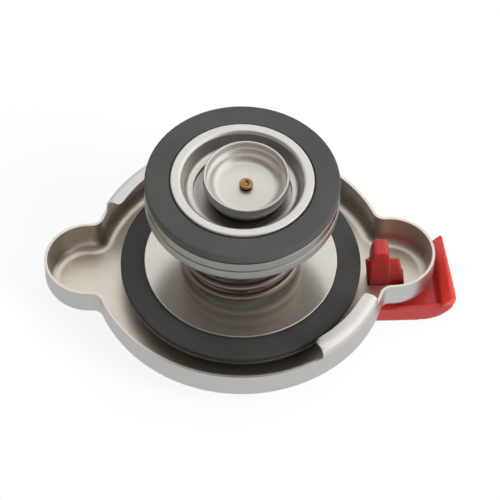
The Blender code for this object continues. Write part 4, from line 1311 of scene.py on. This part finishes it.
@dataclass
class VacuumValve:
    """Stepped cup on a brass stem, with its rubber washer, spring and keeper."""

    offset: tuple[float, float] = (0.7, -0.3)
    radius: float = 8.4
    sheet: float = 0.5
    top: float = 38.55
    depth: float = 3.6
    floor_radius: float = 6.1
    lean: float = math.radians(4.2)
    sink: float = 0.3
    step_depth: float = 1.6
    step: float = 0.75
    seal_radius: float = 7.2
    seal_low: float = 32.8
    stem_radius: float = 0.9
    head_radius: float = 1.35
    head: float = 0.55
    dimple: float = 0.5
    rivet: float = 0.5
    keeper_radius: float = 3.5
    keeper: float = 0.8
    wire: float = 0.55
    turns: float = 3.5
    travel: float = 1.0
    spring_top: float = 31.4

    def build(self) -> None:
        """Makes the five pieces."""
        floor = self.top - self.depth
        low = floor - self.sheet
        step_top = self.top - self.step_depth
        inner = self.radius - self.sheet
        hole = self.stem_radius + SEAT_GAP
        cup = turned("stepped_cup", [
            (hole, floor, 0.0), (self.floor_radius + 0.15, floor, 1.0),
            (inner - self.step, step_top - self.sheet, 0.5), (inner, step_top, 0.5),
            (inner, self.top, 0.2), (self.radius, self.top, 0.2),
            (self.radius, step_top - 2.4 * self.sheet, 0.6),
            (self.floor_radius + 0.7 * self.sheet, low, 0.6), (hole, low, 0.0)],
            segments=5, offset=self.offset)
        upright, sunk = (Matrix.Translation(Vector((*self.offset, height)) * MM)
                         for height in (floor, floor - self.sink))
        cup.data.transform(sunk @ Matrix.Rotation(self.lean, 4, "X") @ upright.inverted())
        place(cup, Body.VACUUM, "cup", "vacuum_cup")
        seal_top = low - SEAT_GAP
        washer = turned("vacuum_washer", [
            (hole, seal_top, 0.0), (self.seal_radius, seal_top, 0.2),
            (self.seal_radius, self.seal_low, 0.2), (hole, self.seal_low, 0.0)], offset=self.offset)
        place(washer, Body.VACUUM, "rubber", "vacuum_seal")

        spring_low = self.spring_top - self.wire * (self.turns + 1.0) - self.travel
        keeper_top = spring_low - SEAT_GAP
        keeper_low = keeper_top - self.keeper
        stem_low = keeper_low - SEAT_GAP - self.rivet
        head_low = floor + SEAT_GAP
        head_top = head_low + self.head
        dimple = self.dimple
        stem = turned("brass_stem", [
            (0.0, head_top - dimple, 0.0), (0.9 * dimple, head_top - 0.8 * dimple, 0.2),
            (1.5 * dimple, head_top, 0.2), (self.head_radius, head_top - 0.1, 0.25),
            (self.head_radius, head_low, 0.1), (self.stem_radius, head_low, 0.0),
            (self.stem_radius, stem_low + self.rivet, 0.0), (hole + SEAT_GAP, stem_low + self.rivet, 0.1),
            (hole + SEAT_GAP, stem_low, 0.2), (0.0, stem_low, 0.0)], steps=SMALL_STEPS, offset=self.offset)
        place(stem, Body.VACUUM, "brass", "vacuum_stem")
        keeper = turned("keeper_washer", [
            (hole, keeper_top, 0.0), (self.keeper_radius, keeper_top, 0.1),
            (self.keeper_radius, keeper_low, 0.1), (hole, keeper_low, 0.0)],
            steps=SMALL_STEPS, offset=self.offset)
        place(keeper, Body.VACUUM, "pressed", "spring_keeper")
        spring = Coil(self.wire, self.keeper_radius - self.wire, spring_low, self.spring_top, self.turns,
                      steps=48, sides=12).build("wound_vacuum_spring", self.offset)
        place(spring, Body.VALVE, "wire", "vacuum_spring")
        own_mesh(spring)


@dataclass(frozen=True)
class Lamp:
    """A soft round lamp that points at the cap: its place and width in metres, and its power."""

    name: str
    place_at: tuple[float, float, float]
    watts: float
    width: float = 0.5

    def hang(self) -> None:
        """Hangs the lamp, which shows neither to the camera nor in the metal."""
        data = bpy.data.lights.new(self.name, "AREA")
        assign(data, shape="DISK", size=self.width, energy=self.watts)
        turn = (-Vector(self.place_at)).to_track_quat("-Z", "Y")
        assign(new_object(self.name, data), location=self.place_at, rotation_mode="QUATERNION",
               rotation_quaternion=turn, visible_camera=False, visible_glossy=False)


@dataclass
class Studio:
    """Pale floor, white surroundings, soft lamps, a dark card for the metal, and the camera."""

    elevation: float = math.radians(52.605)
    turn: float = math.radians(3.480)
    roll: float = math.radians(1.485)
    distance: float = 500.64
    aim: tuple[float, float] = (1.805, 13.978)
    lens: float = 179.04
    floor_size: float = 3000.0
    floor_low: float = -0.05
    floor_dim: Colour = (0.10, 0.10, 0.10)
    floor_pale: Colour = (0.90, 0.90, 0.90)
    # Painted light: in reflections the floor glows from the first value on the left to the second on the
    # right, over this width in metres.
    painted_floor_light: tuple[float, float] = (0.50, 0.80)
    painted_light_reach: float = 0.24
    floor_glow: float = 0.24
    see_through: float = 0.78
    low_light: float = 0.40
    high_light: float = 0.58
    mirror_light: float = 0.96
    side_light: float = 0.36
    sky_start: float = 0.35
    sky_slope: float = 0.75
    card_radius: float = 700.0
    card_glow: Colour = (0.18, 0.16, 0.138)
    card_cuts: tuple[tuple[Corner, Corner], ...] = (
        ((0.0, 0.0, 200.0), (0.0, 0.0, -1.0)), ((0.0, -60.0, 0.0), (0.5, 0.866, 0.0)),
        (ORIGIN, (0.766, 0.643, 0.0)))
    lamps: tuple[Lamp, ...] = (
        Lamp("top_lamp", (0.35, 0.35, 0.9), 1.3), Lamp("side_lamp", (0.62, -0.42, 0.60), 4.4))

    def _camera(self) -> None:
        """Places the camera at the photograph's viewing angle."""
        data = bpy.data.cameras.new("camera")
        assign(data, lens=self.lens, sensor_width=36.0, clip_start=0.05, clip_end=20.0)
        camera = new_object("camera", data)
        spin = Matrix.Rotation(-self.turn, 3, "Z")
        across, height = self.aim
        cosine, sine = math.cos(self.elevation), math.sin(self.elevation)
        position = spin @ Vector((across, -self.distance * cosine, height + self.distance * sine))
        right = spin @ Vector((1.0, 0.0, 0.0))
        back = spin @ Vector((0.0, -cosine, sine))
        up = spin @ Vector((0.0, sine, cosine))
        side = right * math.cos(self.roll) + up * math.sin(self.roll)
        top = up * math.cos(self.roll) - right * math.sin(self.roll)
        pose = Matrix((side, top, back)).transposed().to_4x4()
        camera.matrix_world = Matrix.Translation(position * MM) @ pose
        bpy.context.scene.camera = camera

    def _world(self) -> None:
        """Surrounds the scene with white, which is dimmer for the light that falls on the cap."""
        world = bpy.data.worlds.new("surroundings")
        bpy.context.scene.world = world
        world.use_nodes = True
        bench = NodeBench(world.node_tree)
        ray = bench.add("ShaderNodeLightPath").outputs
        seen = bench.math("MAXIMUM", ray["Is Camera Ray"], ray["Is Glossy Ray"])
        shown = bench.math("MAXIMUM", seen, ray["Is Transmission Ray"])
        parts = bench.split(bench.add("ShaderNodeTexCoord").outputs["Generated"])
        height = bench.math("ADD", parts["Z"], self.sky_start)
        climb = bench.math("MULTIPLY", height, self.sky_slope, clamp=True)
        soft = bench.between(climb, self.low_light, self.high_light)
        values = {0: parts["X"], 1: self.side_light, 2: self.mirror_light}
        across = bench.result("ShaderNodeMath", values, operation="MULTIPLY_ADD")
        unlit = bench.math("SUBTRACT", 1.0, ray["Is Glossy Ray"])
        strength = bench.between(shown, soft, bench.between(unlit, across, 1.0))
        bench.feed(world.node_tree.nodes["Background"], {"Color": WHITE, "Strength": strength})

    def _floor(self) -> None:
        """Lays the pale floor, which keeps the cap's shadow, lets a lever below it show through and, seen
        only in reflections, glows brighter towards +X as painted light.
        """
        bm = bmesh.new()
        bmesh.ops.create_grid(bm, x_segments=1, y_segments=1, size=self.floor_size / 2.0,
                              matrix=lifted(self.floor_low))
        floor = to_object(bm, "floor", even=False)
        material, bench, shader = new_material("floor_paint", {
            "Roughness": 0.9, "Specular IOR Level": 0.0, "Emission Color": WHITE})
        seen = bench.add("ShaderNodeLightPath").outputs["Is Camera Ray"]
        # Painted light: seen in reflections, the floor glows brighter towards +X.
        parts = bench.split(bench.add("ShaderNodeTexCoord").outputs["Object"])
        across = bench.math("MULTIPLY", bench.math("ADD", parts["X"], self.painted_light_reach / 2.0),
                            1.0 / self.painted_light_reach, clamp=True)
        glow = bench.between(seen, bench.between(across, *self.painted_floor_light), self.floor_glow)
        bench.feed(shader, {
            "Base Color": bench.mix(seen, self.floor_dim, self.floor_pale), "Emission Strength": glow})
        below = bench.add("ShaderNodeNewGeometry").outputs["Backfacing"]
        clear = bench.math("MAXIMUM", bench.math("MULTIPLY", seen, self.see_through), below)
        veil = bench.result("ShaderNodeMixShader", {
            0: clear, 1: shader.outputs[0], 2: bench.add("ShaderNodeBsdfTransparent").outputs[0]})
        bench.feed(material.node_tree.nodes["Material Output"], {"Surface": veil})
        floor.data.materials.append(material)
        floor.visible_shadow = False

    def _card(self) -> None:
        """Hangs a dark card on the camera's side, which only shows in the metal."""
        bm = bmesh.new()
        bmesh.ops.create_uvsphere(bm, u_segments=64, v_segments=32, radius=self.card_radius)
        for point, away in self.card_cuts:
            bmesh.ops.bisect_plane(bm, geom=bm.verts[:] + bm.edges[:] + bm.faces[:], plane_co=point,
                                   plane_no=away, clear_outer=True)
        card = to_object(bm, "dark_card", even=False)
        material, _, _ = new_material("card_paint", {
            "Base Color": BLACK, "Specular IOR Level": 0.0, "Emission Color": self.card_glow,
            "Emission Strength": 1.0})
        card.data.materials.append(material)
        assign(card, visible_camera=False, visible_diffuse=False, visible_shadow=False,
               visible_transmission=False)

    def build(self) -> None:
        """Sets up the studio."""
        self._camera()
        self._world()
        self._floor()
        self._card()
        for lamp in self.lamps:
            lamp.hang()
        bpy.context.scene.view_settings.view_transform = "Standard"


def main() -> None:
    """Builds the cap and its studio."""
    logging.basicConfig(level=logging.INFO, format="%(name)s: %(message)s")
    for part in (Cover(), SwivelStack(), PullRod(), Lever(), PressureValve(), VacuumValve()):
        part.build()
        LOG.info("%s is built", type(part).__name__)
    Studio().build()


if __name__ == "__main__":
    main()
